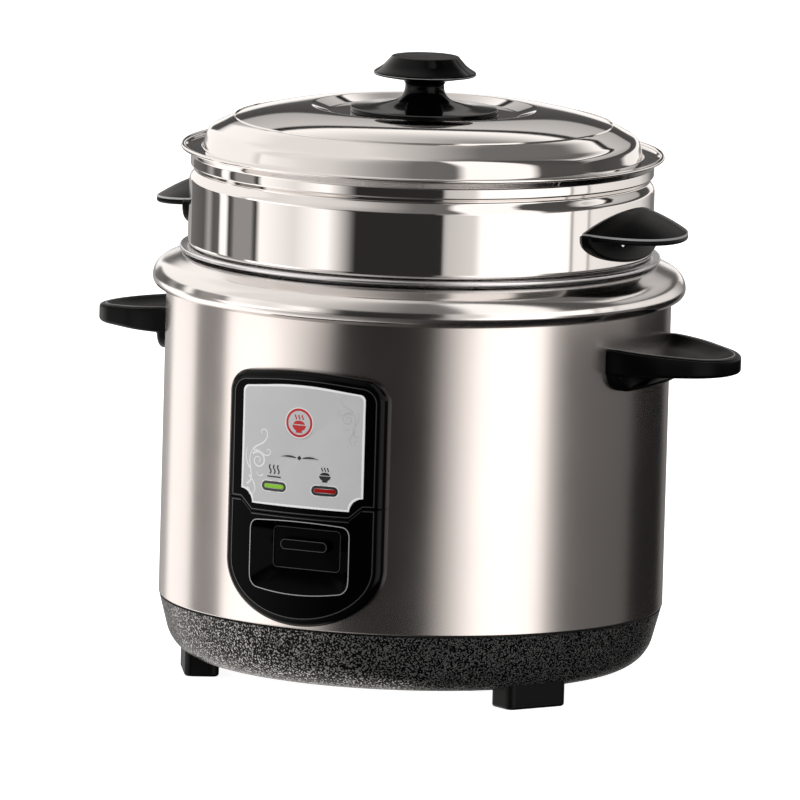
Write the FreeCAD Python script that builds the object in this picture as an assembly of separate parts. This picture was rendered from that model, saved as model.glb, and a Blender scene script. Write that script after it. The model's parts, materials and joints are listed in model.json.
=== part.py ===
import FreeCAD, Part
import math
import os

# A straight-bodied electric rice cooker with a steamer, millimetres, +Z up.
# The origin is on the floor below the middle, the panel faces -Y and the handles stand along X.

os.makedirs("parts", exist_ok=True)

Vector = FreeCAD.Vector
ORIGIN = Vector(0, 0, 0)
ALONG_X = Vector(1, 0, 0)
ALONG_Y = Vector(0, 1, 0)
UP = Vector(0, 0, 1)
FULL_TURN = 360.0
FRONT_ANGLE = -90.0
REAR_ANGLE = 90.0
RIGHT_ANGLE = 0.0
LEFT_ANGLE = 180.0
FAR = 400.0                # longer than any piece, for cutting tools
SMALLEST_ROUND = 0.02

# Clearances
SEAT_GAP = 0.1             # curved faces of one body that sit against each other
RUN_GAP = 0.4              # pieces that move past each other
STACK_GAP = 0.3            # lid, steamer and pot where one rests in the other
PIN_GAP = 0.05             # round a screw, pin or rivet in its hole

# Casing
SHELL_RADIUS = 130.0
SHELL_WALL = 0.8
SHELL_HEIGHT = 158.4       # steel that shows between base and ring
HEM_HEIGHT = 2.6
HEM_GROOVE = 0.3
FOOT_HEIGHT = 9.3
BASE_HEIGHT = 31.5
BASE_WALL = 2.5
BASE_STEP = 0.5            # the base stands this far inside the steel
BASE_TAPER = 8.0
BASE_ROUND = 20.0
BASE_LIP_HEIGHT = 5.0      # lip inside the shell that keeps it round
BASE_LIP_WALL = 2.4
RING_FLARE = 7.2           # ring beyond the shell
RING_HEIGHT = 20.1         # ring lip to ring top
RING_WALL = 1.0
RING_SIDE_LOW = 2.6
RING_SIDE_HIGH = 12.6
RING_CURL_ROUND = 5.0
RING_SHOULDER_ROUND = 10.0
RING_INNER_ROUND = 1.6
RING_SKIRT = 11.0
RING_OVERLAP = 7.0         # shell hidden inside the ring

# Pot chamber
CHAMBER_GAP = 9.7          # shell face to the liner's outer face
LINER_WALL = 0.6
LINER_FLOOR_RISE = 40.5    # base underside to the liner floor
LINER_HOLE_RADIUS = 42.0
LINER_CONE_RISE = 36.0     # straight wall begins this far above the liner floor
LINER_CONE_LOW = 8.0
LINER_CONE_IN = 13.7
LINER_FOOT_IN = 1.6
LINER_ROUND = 8.0

# Feet and bottom cover
FOOT_COUNT = 3
FOOT_DEPTH = 18.0
FOOT_WIDTH = 36.0
FOOT_INSET = 13.0          # foot's outer face inside the shell's radius
FOOT_CORNER = 4.0
FOOT_EDGE = 1.5
COVER_INSET = 33.0         # cover's edge inside the shell's radius
COVER_WALL = 1.5
COVER_RECESS = 0.2
LEDGE_WIDTH = 7.0
LEDGE_OVERLAP = 2.0
LEDGE_WALL = 2.5
BOSS_RADIUS = 4.5
BOSS_HEIGHT = 7.0
COVER_SCREW_COUNT = 4
COVER_SCREW_INSET = 3.5
VENT_COUNT = 12
VENT_WIDTH = 4.0
VENT_INNER = 46.0
VENT_OUTER = 76.0

# Fasteners
SCREW_RADIUS = 1.9
SCREW_HEAD_RADIUS = 3.5
SCREW_HEAD_HEIGHT = 2.2
FOOT_SCREW_BORE = 4.5      # depth left above the counterbore's mouth

# Side handles
HANDLE_DROP = 16.4         # tongue's top at the shell below the ring's lip
HANDLE_REACH = 50.0        # beyond the shell
HANDLE_HALF_WIDTH = 34.0
HANDLE_THICKNESS = 9.0     # at the shell
HANDLE_FALL = 4.7          # tip's top below the top at the shell
HANDLE_SHOULDER = 0.25     # where the sides begin to draw in
HANDLE_TIP_SHARE = 0.45
HANDLE_TIP_FILL = 0.95
HANDLE_RIM = 4.0
HANDLE_DISH = 3.2
HANDLE_TOP_ROUND = 1.6
HANDLE_BOTTOM_ROUND = 2.0
HANDLE_PAD_WALL = 7.0
HANDLE_PAD_DROP = 11.5     # pad below the tongue
HANDLE_SCREW_ANGLE = 6.5
HANDLE_SCREW_LENGTH = 6.0

# Front panel
PANEL_WIDTH = 88.4
PANEL_RISE = 1.0           # panel above the base seam
PANEL_HEIGHT = 133.4
PANEL_DEPTH = 7.0
PANEL_ARCH = 4.5
PANEL_SAG = 9.0
PANEL_TOP_CORNER = 12.0
PANEL_BOTTOM_CORNER = 30.0
PANEL_EDGE = 3.6
CROWN_SHARE = 0.5
SPLIT_RISE = 64.5          # split line above the panel's bottom
SPLIT_DIP = 6.1
SPLIT_GAP = 0.3
LABEL_WIDTH = 68.8
LABEL_RISE = 62.4
LABEL_HEIGHT = 64.0
LABEL_ARCH = 4.0
LABEL_CORNER = 7.0
LABEL_NOTCH = 7.0
LABEL_POCKET = 1.2
LABEL_WALL = 0.9
LENS_LENGTH = 14.0
LENS_HEIGHT = 3.0
LENS_SPACING = 28.6
LENS_RISE = 72.2
LENS_WALL = 5.6
LENS_PROUD = 0.3
LAMP_RADIUS = 2.6
LAMP_LENGTH = 12.0
LAMP_DEPTH = 4.0           # lamp axis inside the shell's face
HOLDER_WALL = 1.5
HOLDER_HEIGHT = 10.0
HOLDER_WIDTH = 48.0
HOLDER_POST = 3.0
PANEL_SCREW_ANGLE = 15.0
PANEL_SCREW_RISES = (25.0, 104.0)
PANEL_SCREW_LENGTH = 5.0
WINDOW_MARGIN = 3.0

# Switch recess and key
FUNNEL_WIDTH = 61.0
FUNNEL_HEIGHT = 35.0
FUNNEL_RISE = 37.0         # funnel mouth centre above the panel's bottom
FUNNEL_DEPTH = 12.0
FUNNEL_CORNER = 5.0
OPENING_WIDTH = 37.5
OPENING_HEIGHT = 21.0
OPENING_RISE = 39.8
OPENING_CORNER = 2.5
KEY_TRAVEL = 6.0
KEY_WALL = 2.0
KEY_LAP = 3.0              # key plate beyond the opening on each side
KEY_BAR_WIDTH = 27.0
KEY_BAR_HEIGHT = 5.9
KEY_BAR_PROUD = 4.5
KEY_BAR_LIFT = 2.2         # bar above the opening's middle
KEY_BAR_ROUND = 1.6
KEY_TAIL_WIDTH = 14.0
KEY_TAIL_WALL = 3.0
KEY_TAIL_STEP = 5.0        # tail behind the key plate
KEY_TAIL_BELOW = 2.0       # tail below the lever's slot
RAIL_WALL = 2.4
RAIL_LIP = 2.6
RAIL_LIP_WALL = 1.4

# Lever, bracket and micro switch
LEVER_RISE = 15.8          # cover's upper face to the lever's underside
LEVER_WALL = 1.5
LEVER_WIDTH = 12.4
LEVER_TONGUE = 8.0
LEVER_PIVOT_OFFSET = 56.0  # pivot in front of the middle
LEVER_PIVOT_LIFT = 6.0
LEVER_EAR_RADIUS = 5.0
LEVER_EAR_WALL = 1.2
LEVER_TIP = 2.5            # tongue beyond the key's tail
FORK_REACH = 7.5
PIN_RADIUS = 2.0
PIN_HEAD_RADIUS = 3.2
PIN_HEAD = 1.2
BRACKET_WALL = 1.2
BRACKET_SIDE_GAP = 1.6
BRACKET_LENGTH = 20.0
BRACKET_SCREW_SPACING = 11.0
SHELF_LENGTH = 16.0
SWITCH_LENGTH = 18.0
SWITCH_WIDTH = 6.4
SWITCH_HEIGHT = 10.2
SHELF_CLEARANCE = 2.0      # micro switch's shelf to the base's ledge
BUTTON_PROUD = 3.5
BUTTON_GAP = 0.5           # button to the lever at rest
BUTTON_SIZE = 2.6
BUTTON_SUNK = 3.4
BLADE_LENGTH = 5.0
BLADE_SPACING = 3.4
BLADE_SIZE = 1.0

# Heater
PLATE_INSET = 33.0         # plate's edge inside the pot's wall
PLATE_THICKNESS = 12.0
PLATE_HOLE_RADIUS = 17.0
PLATE_EDGE = 2.0
POST_COUNT = 3
POST_RADIUS = 4.0
POST_HEIGHT = 7.4
POST_INSET = 12.0
TUBE_RADIUS = 4.0
TUBE_RING_RADIUS = 52.0
TUBE_OPEN_ANGLE = 36.0
TERMINAL_RADIUS = 2.6
TERMINAL_HEIGHT = 20.0
TERMINAL_HOLE = 5.5

# Magnetic thermostat
CAP_RADIUS = 15.3
CAP_WALL = 1.0
CAP_HEIGHT = 22.0
SLEEVE_WALL = 1.0
SLEEVE_HEIGHT = 16.0
SLEEVE_FLANGE = 5.0
SLEEVE_FLANGE_WALL = 1.5
FERRITE_THICKNESS = 4.5
FERRITE_GAP = 0.8
MAGNET_RADIUS = 9.6
MAGNET_THICKNESS = 4.0
LATCH_GAP = 0.3            # magnet to ferrite when the key is down
ROD_RADIUS = 3.0
ROD_FLANGE_RADIUS = 6.0
ROD_FLANGE_WALL = 1.6
COLLAR_RADIUS = 6.5
COLLAR_WALL = 2.0
COLLAR_GAP = 1.0           # collar above the lever's fork at rest
ROD_BELOW_LEVER = 3.0
SENSOR_SPRING_WIRE = 1.2
SENSOR_SPRING_TURNS = 6.0
RELEASE_SPRING_WIRE = 0.8
RELEASE_SPRING_TURNS = 4.0
RELEASE_SPRING_RADIUS = 4.8

# Keep-warm thermostat, fuse, inlet and wires
WARM_RADIUS = 8.0
WARM_HEIGHT = 12.0
WARM_GAP = 1.0
WARM_TAB_REACH = 1.3       # tab length over the thermostat's radius
WARM_TAB_LOW = 0.8         # shares of the thermostat's height
WARM_TAB_HIGH = 0.7
WARM_ANGLE = 20.0
FUSE_RADIUS = 2.6
FUSE_LENGTH = 24.0
FUSE_DROP = 8.0            # fuse axis below the liner floor
FUSE_SIDE = 22.0
FUSE_BACK = 72.0
FUSE_TAB = 3.0
INLET_RISE = 19.0          # inlet's middle above the base seam
INLET_WIDTH = 30.0
INLET_HEIGHT = 22.0
INLET_DEPTH = 15.0
INLET_WALL = 2.0
INLET_FLANGE = 9.0
INLET_FLANGE_EDGE = 2.5
INLET_FLANGE_WALL = 2.4
INLET_CORNER = 3.0
INLET_PIN_RADIUS = 2.0
INLET_PIN_LENGTH = 11.0
INLET_PIN_SPACING = 14.0
INLET_PIN_LIFT = 7.0
INLET_STUB = 4.0
INLET_SCREW_ANGLE = 8.6
INLET_SCREW_LENGTH = 8.0
WIRE_RADIUS = 1.2
WIRE_BEND = 4.0
WIRE_LEVEL = 9.0           # low run of the wires above the cover
WIRE_SIDE = 22.0
WIRE_DROP = 16.0
WIRE_FRONT = 7.0

# Inner pot
POT_CLEARANCE = 2.4        # liner to pot
POT_WALL = 1.2
POT_ROUND = 24.0
POT_BEAD = 1.1
POT_FLANGE = 5.4
POT_FLANGE_ROUND = 1.6

# Steamer
STEAMER_WALL = 0.7
STEAMER_INSERT_GAP = 0.7   # pot mouth to the steamer's insert
STEAMER_INSERT = 12.0
STEAMER_STEP = 4.3         # wall beyond the insert
STEAMER_SIDE = 34.5
STEAMER_GROOVE_IN = 3.0
STEAMER_GROOVE_RISE = 4.4
STEAMER_NECK_OUT = 2.5
STEAMER_NECK_RISE = 2.6
STEAMER_NECK = 5.0
STEAMER_FLARE = 4.0
STEAMER_FLARE_RISE = 4.4
STEAMER_BEAD = 1.2
STEAMER_SHOULDER_ROUND = 5.0
STEAMER_STEP_ROUND = 2.0
STEAMER_NECK_ROUND = 1.5
PRESS_ROUND = 1.0          # tight corners of pressed sheet
STEAMER_HOLE_RADIUS = 2.6
STEAMER_RING_COUNT = 7
STEAMER_HOLE_PITCH = 13.5
STEAMER_HOLE_COUNT = 6     # in the first ring, and as many more in each next one
STEAMER_HANDLE_RISE = 17.7 # handle's tip above the steamer's step
STEAMER_HANDLE_REACH = 27.0
STEAMER_HANDLE_RADIUS = 40.6
STEAMER_HANDLE_EDGE = 3.2
STEAMER_HANDLE_CROWN = 12.0
STEAMER_HANDLE_FALL = 2.6  # tip below the edge at the wall
STEAMER_HANDLE_ROUND = 1.2
STEAMER_PAD_WALL = 4.0
STEAMER_PAD_DROP = 10.7
STEAMER_PAD_EXTRA = 0.4
RIVET_RADIUS = 1.6
RIVET_HEAD_RADIUS = 3.2
RIVET_HEAD = 1.0
RIVET_LENGTH = 3.4
RIVET_ANGLE = 7.0

# Lid and knob
LID_WALL = 0.7
LID_REST = 3.8             # lid flange above the neck
LID_FLANGE_GAP = 1.2       # flange edge inside the steamer's bead
LID_FLANGE = 7.4
LID_SIDE = 9.3
LID_SIDE_IN = 2.6
LID_SHOULDER_IN = 11.5
LID_SHOULDER_RISE = 6.0
LID_CROWN_RISE = 8.0
LID_WELL_RADIUS = 58.0
LID_WELL_DEPTH = 3.0
LID_WELL_SLOPE = 9.0
LID_SIDE_ROUND = 7.0
LID_SHOULDER_ROUND = 30.0
LID_DOME_OUT = 21.3        # bend of the dome outside the dished middle
LID_DOME_DROP = 1.1
LID_DOME_ROUND = 138.0
LID_WELL_ROUND = 4.0
LID_VENT_RADIUS = 2.0
LID_VENT_PLACE = 80.0
KNOB_SKIRT_RADIUS = 38.0
KNOB_SKIRT_EDGE = 2.6
KNOB_SKIRT_HEIGHT = 12.9
KNOB_SKIRT_FOOT_ROUND = 0.8
KNOB_SKIRT_ROUND = 1.5
KNOB_SEAM_ROUND = 0.4
KNOB_STEM_RADIUS = 10.0
KNOB_STEM = 6.6
KNOB_RADIUS = 26.3
KNOB_EDGE = 1.6
KNOB_EDGE_ROUND = 0.6
KNOB_TOP_ROUND = 1.0
KNOB_FLARE = 3.0
KNOB_TOP_RADIUS = 17.2
KNOB_TOP_RISE = 8.0
KNOB_SCREW_RADIUS = 2.5
KNOB_SCREW_DEPTH = 18.0
KNOB_WASHER_RADIUS = 9.0
KNOB_WASHER = 1.2

# Levels, from the floor up
BASE_TOP = FOOT_HEIGHT + BASE_HEIGHT
RING_LIP = BASE_TOP + SHELL_HEIGHT
RING_TOP = RING_LIP + RING_HEIGHT
HANDLE_TOP = RING_LIP - HANDLE_DROP
COVER_TOP = FOOT_HEIGHT + COVER_RECESS + COVER_WALL
LINER_FLOOR = FOOT_HEIGHT + LINER_FLOOR_RISE
PLATE_BOTTOM = LINER_FLOOR + LINER_WALL + POST_HEIGHT
PLATE_TOP = PLATE_BOTTOM + PLATE_THICKNESS
POT_RIM = RING_TOP + STACK_GAP + 2 * POT_BEAD
STEP_LEVEL = POT_RIM + STACK_GAP
GROOVE_LEVEL = STEP_LEVEL + STEAMER_SIDE + STEAMER_GROOVE_RISE
NECK_LEVEL = GROOVE_LEVEL + STEAMER_NECK_RISE
NECK_TOP = NECK_LEVEL + STEAMER_NECK
STEAMER_RIM = NECK_TOP + STEAMER_FLARE_RISE
FLANGE_LEVEL = NECK_TOP + LID_REST
LID_SIDE_TOP = FLANGE_LEVEL + LID_SIDE
LID_SHOULDER = LID_SIDE_TOP + LID_SHOULDER_RISE
LID_CROWN = LID_SHOULDER + LID_CROWN_RISE
LID_WELL = LID_CROWN - LID_WELL_DEPTH
KNOB_SEAM = LID_WELL + KNOB_SKIRT_HEIGHT
KNOB_DISC = KNOB_SEAM + KNOB_STEM
KNOB_TOP = KNOB_DISC + KNOB_EDGE + KNOB_TOP_RISE
PANEL_BOTTOM = BASE_TOP + PANEL_RISE
PANEL_TOP = PANEL_BOTTOM + PANEL_HEIGHT
SPLIT = PANEL_BOTTOM + SPLIT_RISE
LABEL_BOTTOM = PANEL_BOTTOM + LABEL_RISE
LENS_LEVEL = PANEL_BOTTOM + LENS_RISE
OPENING_LEVEL = PANEL_BOTTOM + OPENING_RISE
FUNNEL_LEVEL = PANEL_BOTTOM + FUNNEL_RISE
LEVER_LEVEL = COVER_TOP + LEVER_RISE
PIVOT_LEVEL = LEVER_LEVEL + LEVER_PIVOT_LIFT
INLET_LEVEL = BASE_TOP + INLET_RISE
WIRE_LOW = COVER_TOP + WIRE_LEVEL

# Radii, from the shell inwards
SHELL_INSIDE = SHELL_RADIUS - SHELL_WALL
RING_RADIUS = SHELL_RADIUS + RING_FLARE
LINER_RADIUS = SHELL_RADIUS - CHAMBER_GAP
POT_RADIUS = LINER_RADIUS - LINER_WALL - POT_CLEARANCE
POT_RIM_RADIUS = POT_RADIUS + POT_FLANGE
INSERT_RADIUS = POT_RADIUS - POT_WALL - STEAMER_INSERT_GAP
STEAMER_RADIUS = INSERT_RADIUS + STEAMER_STEP
GROOVE_RADIUS = STEAMER_RADIUS - STEAMER_GROOVE_IN
NECK_RADIUS = GROOVE_RADIUS + STEAMER_NECK_OUT
BEAD_RADIUS = NECK_RADIUS + STEAMER_FLARE
LID_FLANGE_RADIUS = BEAD_RADIUS - STEAMER_BEAD - LID_FLANGE_GAP
LID_RADIUS = LID_FLANGE_RADIUS - LID_FLANGE
PANEL_RADIUS = SHELL_RADIUS + PANEL_DEPTH
COVER_RADIUS = SHELL_RADIUS - COVER_INSET
PLATE_RADIUS = POT_RADIUS - PLATE_INSET
CAP_BORE = CAP_RADIUS - CAP_WALL
FERRITE_RADIUS = CAP_BORE - FERRITE_GAP

# Switch key, lever and plunger places
KEY_FRONT = -(PANEL_RADIUS - FUNNEL_DEPTH) + RUN_GAP
KEY_BACK = KEY_FRONT + KEY_WALL
KEY_HALF = OPENING_WIDTH / 2 + KEY_LAP
KEY_LOW = OPENING_LEVEL - OPENING_HEIGHT / 2 - KEY_LAP
KEY_HIGH = OPENING_LEVEL + OPENING_HEIGHT / 2 + KEY_TRAVEL + KEY_LAP
TAIL_FRONT = KEY_BACK + KEY_TAIL_STEP
TAIL_BACK = TAIL_FRONT + KEY_TAIL_WALL
FRONT_ARM = -(TAIL_FRONT + TAIL_BACK) / 2 - LEVER_PIVOT_OFFSET
REAR_ARM = LEVER_PIVOT_OFFSET
SWITCH_ARM = COVER_RADIUS - LEDGE_WIDTH - SHELF_CLEARANCE - SHELF_LENGTH / 2 - LEVER_PIVOT_OFFSET
PLUNGER_TRAVEL = KEY_TRAVEL * REAR_ARM / FRONT_ARM
BUTTON_TRAVEL = KEY_TRAVEL * SWITCH_ARM / FRONT_ARM
CAP_TOP = PLATE_TOP - STACK_GAP
FERRITE_BOTTOM = CAP_TOP - CAP_WALL - FERRITE_THICKNESS
MAGNET_TOP = FERRITE_BOTTOM - LATCH_GAP - PLUNGER_TRAVEL
SLEEVE_BOTTOM = PLATE_BOTTOM - SLEEVE_HEIGHT
COLLAR_LEVEL = LEVER_LEVEL + LEVER_WALL + COLLAR_GAP


def corner_round(before, corner, after, radius):
    """Start, middle and end of the arc that rounds a corner."""
    back = (before - corner).normalize()
    ahead = (after - corner).normalize()
    half_angle = back.getAngle(ahead) / 2
    reach = radius / math.tan(half_angle)
    toward = (back + ahead).normalize()
    middle = corner + toward * (radius / math.sin(half_angle) - radius)
    return corner + back * reach, middle, corner + ahead * reach


def path_edges(points, closed):
    """Straight runs joined by tangent arcs through (place, round) pairs."""
    count = len(points)
    stops = []
    for index, (place, radius) in enumerate(points):
        is_end = not closed and index in (0, count - 1)
        if is_end or radius < SMALLEST_ROUND:
            stops.append((place, None, place))
            continue
        before = points[index - 1][0]
        after = points[(index + 1) % count][0]
        stops.append(corner_round(before, place, after, radius))
    edges = []
    for index, (start, middle, end) in enumerate(stops):
        if middle is not None:
            edges.append(Part.Arc(start, middle, end).toShape())
        if closed or index < count - 1:
            following = stops[(index + 1) % count][0]
            if end.distanceToPoint(following) > SMALLEST_ROUND:
                edges.append(Part.makeLine(end, following))
    return edges


def offset_profile(profile, offset):
    """A profile of (radius, height, round) moved sideways, to the left of its direction if positive."""
    normals = []
    for (radius, height, _), (next_radius, next_height, _) in zip(profile, profile[1:]):
        length = math.hypot(next_radius - radius, next_height - height)
        normals.append(((height - next_height) / length, (next_radius - radius) / length))
    moved = []
    for index, (radius, height, rounding) in enumerate(profile):
        before = normals[max(index - 1, 0)]
        after = normals[min(index, len(normals) - 1)]
        along = 1 + before[0] * after[0] + before[1] * after[1]
        turn = before[0] * after[1] - before[1] * after[0]
        new_radius = radius + offset * (before[0] + after[0]) / along
        new_height = height + offset * (before[1] + after[1]) / along
        new_round = max(rounding - math.copysign(offset, turn * offset), 0)
        moved.append((new_radius, new_height, new_round))
    return moved


def profile_points(profile):
    """(radius, height, round) triples as places in the XZ plane."""
    return [(Vector(radius, 0, height), rounding) for radius, height, rounding in profile]


def revolved(edges):
    """Solid of revolution about Z from the edges of one closed profile."""
    face = Part.Face(Part.Wire(Part.__sortEdges__(edges)))
    return face.revolve(ORIGIN, UP, FULL_TURN)


def turned(profile):
    """Solid of revolution from a closed profile of (radius, height, round) triples."""
    return revolved(path_edges(profile_points(profile), True))


def sheet(profile, wall):
    """Sheet of revolution: an open profile thickened by wall, to its left if positive."""
    outer = path_edges(profile_points(profile), False)
    moved = profile_points(offset_profile(profile, wall))
    inner = path_edges(moved, False)
    first = Part.makeLine(profile_points(profile)[0][0], moved[0][0])
    last = Part.makeLine(profile_points(profile)[-1][0], moved[-1][0])
    return revolved(outer + inner + [first, last])


def bead(ring_radius, wire_radius, level):
    """Rolled edge: a ring of round section."""
    return Part.makeTorus(ring_radius, wire_radius, Vector(0, 0, level), UP)


def disc(radius, low, high, x=0.0, y=0.0):
    """Upright cylinder."""
    return Part.makeCylinder(radius, high - low, Vector(x, y, low), UP)


def pipe(outer, inner, low, high):
    """Upright hollow cylinder about the middle."""
    return disc(outer, low, high).cut(disc(inner, low, high))


def block(x_low, x_high, y_low, y_high, z_low, z_high):
    """Box between two corners."""
    return Part.makeBox(x_high - x_low, y_high - y_low, z_high - z_low, Vector(x_low, y_low, z_low))


def fused(shapes):
    """One solid from several that meet."""
    first, *others = shapes
    return first.multiFuse(others).removeSplitter()


def on_circle(shape, angle):
    """A copy turned about Z."""
    return shape.rotated(ORIGIN, UP, angle)


def circle_places(radius, count, start):
    """Evenly spaced (x, y) places on a circle."""
    angles = [math.radians(start + FULL_TURN * index / count) for index in range(count)]
    return [(radius * math.cos(angle), radius * math.sin(angle)) for angle in angles]


def plate_xz(points, y_low, y_high):
    """Prism along Y from a closed path of (x, z, round) triples."""
    places = [(Vector(x, y_low, z), rounding) for x, z, rounding in points]
    face = Part.Face(Part.Wire(Part.__sortEdges__(path_edges(places, True))))
    return face.extrude(Vector(0, y_high - y_low, 0))


def plate_yz(points, x_low, x_high):
    """Prism along X from a closed path of (y, z, round) triples."""
    places = [(Vector(x_low, y, z), rounding) for y, z, rounding in points]
    face = Part.Face(Part.Wire(Part.__sortEdges__(path_edges(places, True))))
    return face.extrude(Vector(x_high - x_low, 0, 0))


def plate_xy(points, z_low, z_high):
    """Upright prism from a closed path of (x, y, round) triples."""
    places = [(Vector(x, y, z_low), rounding) for x, y, rounding in points]
    face = Part.Face(Part.Wire(Part.__sortEdges__(path_edges(places, True))))
    return face.extrude(Vector(0, 0, z_high - z_low))


def rectangle(half_width, half_height, centre, rounding):
    """Closed rounded rectangle of (x, z, round) triples about (0, centre)."""
    limit = min(rounding, half_width - SMALLEST_ROUND, half_height - SMALLEST_ROUND)
    signs = ((-1, -1), (1, -1), (1, 1), (-1, 1))
    return [(sx * half_width, centre + sz * half_height, limit) for sx, sz in signs]


def ellipse_prism(centre_x, half_x, half_y, low, high):
    """Upright prism of elliptic plan."""
    edge = Part.Ellipse(ORIGIN, max(half_x, half_y), min(half_x, half_y)).toShape()
    if half_y > half_x:
        edge = edge.rotated(ORIGIN, UP, REAR_ANGLE)
    face = Part.Face(Part.Wire(edge.translated(Vector(centre_x, 0, low))))
    return face.extrude(Vector(0, 0, high - low))


def rounded_edges(solid, radius, keep):
    """Round the edges for which keep(points on the edge) is true."""
    edges = [edge for edge in solid.Edges if keep(edge.discretize(5))]
    return solid.makeFillet(radius, edges)


def at_level(level):
    """Test for edges that lie flat at one height."""
    return lambda points: all(abs(point.z - level) < SMALLEST_ROUND for point in points)


def bolt(seat, head_radius, head, shank_radius, length, level):
    """Screw along +X whose head ends at radius seat."""
    top = Part.makeCylinder(head_radius, head, Vector(seat - head, 0, level), ALONG_X)
    shank = Part.makeCylinder(shank_radius, length, Vector(seat, 0, level), ALONG_X)
    return top.fuse(shank).removeSplitter()


def inward_bolt(seat, length, level):
    """Screw along -X whose head stands outside radius seat."""
    top = Part.makeCylinder(SCREW_HEAD_RADIUS, SCREW_HEAD_HEIGHT, Vector(seat, 0, level), ALONG_X)
    shank = Part.makeCylinder(SCREW_RADIUS, length, Vector(seat - length, 0, level), ALONG_X)
    return top.fuse(shank).removeSplitter()


def radial_hole(radius, level):
    """Cutting tool: a round hole along +X at one height."""
    return Part.makeCylinder(radius, FAR, Vector(0, 0, level), ALONG_X)


def upright_bolt(x, y, seat, length):
    """Screw from below whose head's upper face is at height seat."""
    head = disc(SCREW_HEAD_RADIUS, seat - SCREW_HEAD_HEIGHT, seat, x, y)
    return head.fuse(disc(SCREW_RADIUS, seat, seat + length, x, y)).removeSplitter()


def helix_place(radius, slope, low, angle):
    """Point of a helix about the middle."""
    return Vector(radius * math.cos(angle), radius * math.sin(angle), low + slope * angle)


def helix_heading(radius, slope, angle):
    """Direction of a helix about the middle."""
    return Vector(-radius * math.sin(angle), radius * math.cos(angle), slope).normalize()


def helix_route(radius, slope, low, quarters):
    """Helix as pairs of tangent arcs, one pair to a quarter turn, that round a path of equal legs."""
    quarter = math.pi / 2
    leave = helix_heading(radius, slope, 0)
    arrive = helix_heading(radius, slope, quarter)
    chord = helix_place(radius, slope, low, quarter) - helix_place(radius, slope, low, 0)
    spread = 2 - 2 * leave.dot(arrive)
    along = chord.dot(leave + arrive)
    reach = (math.sqrt(along ** 2 + spread * chord.dot(chord)) - along) / spread
    points = [helix_place(radius, slope, low, 0)]
    for index in range(quarters):
        for angle, side in ((index * quarter, 1), ((index + 1) * quarter, -1)):
            heading = helix_heading(radius, slope, angle)
            points.append(helix_place(radius, slope, low, angle) + heading * reach * side)
    points.append(helix_place(radius, slope, low, quarters * quarter))
    corner = (points[0] - points[1]).getAngle(points[2] - points[1])
    bend = reach * math.tan(corner / 2)
    return Part.Wire(path_edges([(point, bend) for point in points], False))


def helix_spring(radius, wire, turns, low, high):
    """Round-wire compression spring about the middle."""
    quarters = round(4 * turns)
    slope = (high - low - 2 * wire) / (turns * 2 * math.pi)
    route = helix_route(radius, slope, low + wire, quarters)
    start = helix_place(radius, slope, low + wire, 0)
    section = Part.Wire(Part.makeCircle(wire / 2, start, helix_heading(radius, slope, 0)))
    return route.makePipeShell([section], True, False)


def wire_tube(points):
    """Insulated wire along straight runs and tangent arcs."""
    route = Part.Wire(path_edges([(Vector(*point), WIRE_BEND) for point in points], False))
    start = Vector(*points[0])
    direction = Vector(*points[1]) - start
    section = Part.Wire(Part.makeCircle(WIRE_RADIUS, start, direction))
    return route.makePipeShell([section], True, False)


# Casing


def foot_angles():
    """Angles of the feet about Z: one at the rear, the others evenly spaced."""
    return [REAR_ANGLE + FULL_TURN * index / FOOT_COUNT for index in range(FOOT_COUNT)]


def foot_screw_radius():
    """Distance of the foot screws from the middle, on the base's flat rim."""
    return COVER_RADIUS + RUN_GAP + BOSS_RADIUS + LEDGE_OVERLAP


def cover_screw_radius():
    """Distance of the cover screws from the middle."""
    return COVER_RADIUS - COVER_SCREW_INSET


def cover_screw_start():
    """Angle of the first cover screw, between the feet and the wires."""
    return REAR_ANGLE + FULL_TURN / COVER_SCREW_COUNT / 2


def base_profile():
    """Outer face of the base, from the seam down and inwards."""
    top = SHELL_RADIUS - BASE_STEP
    return [
        (top, BASE_TOP, 0),
        (top - BASE_TAPER, FOOT_HEIGHT, BASE_ROUND),
        (COVER_RADIUS + RUN_GAP, FOOT_HEIGHT, 0),
    ]


def base_skirt():
    """Moulded base: a tapered bowl with a ledge for the cover and a lip for the shell."""
    lip_outer = SHELL_INSIDE - SEAT_GAP
    above = pipe(SHELL_RADIUS, lip_outer, BASE_TOP, BASE_TOP + BASE_LIP_HEIGHT)
    bowl = sheet(base_profile(), -BASE_WALL).cut(above)
    lip = pipe(lip_outer, lip_outer - BASE_LIP_WALL, BASE_TOP - BASE_WALL, BASE_TOP + BASE_LIP_HEIGHT)
    ledge_outer = COVER_RADIUS + RUN_GAP + LEDGE_OVERLAP
    ledge = pipe(ledge_outer, COVER_RADIUS - LEDGE_WIDTH, COVER_TOP, COVER_TOP + LEDGE_WALL)
    bosses = [disc(BOSS_RADIUS, COVER_TOP, COVER_TOP + BOSS_HEIGHT, x, y)
              for x, y in circle_places(cover_screw_radius(), COVER_SCREW_COUNT, cover_screw_start())]
    foot_bosses = [disc(BOSS_RADIUS, FOOT_HEIGHT, FOOT_HEIGHT + BASE_WALL + BOSS_HEIGHT, x, y)
                   for x, y in circle_places(foot_screw_radius(), FOOT_COUNT, REAR_ANGLE)]
    solid = fused([bowl, lip, ledge] + bosses + foot_bosses)
    places = circle_places(cover_screw_radius(), COVER_SCREW_COUNT, cover_screw_start())
    places += circle_places(foot_screw_radius(), FOOT_COUNT, REAR_ANGLE)
    holes = [disc(SCREW_RADIUS + PIN_GAP, 0, LINER_FLOOR, x, y) for x, y in places]
    return solid.cut(holes)


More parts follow.
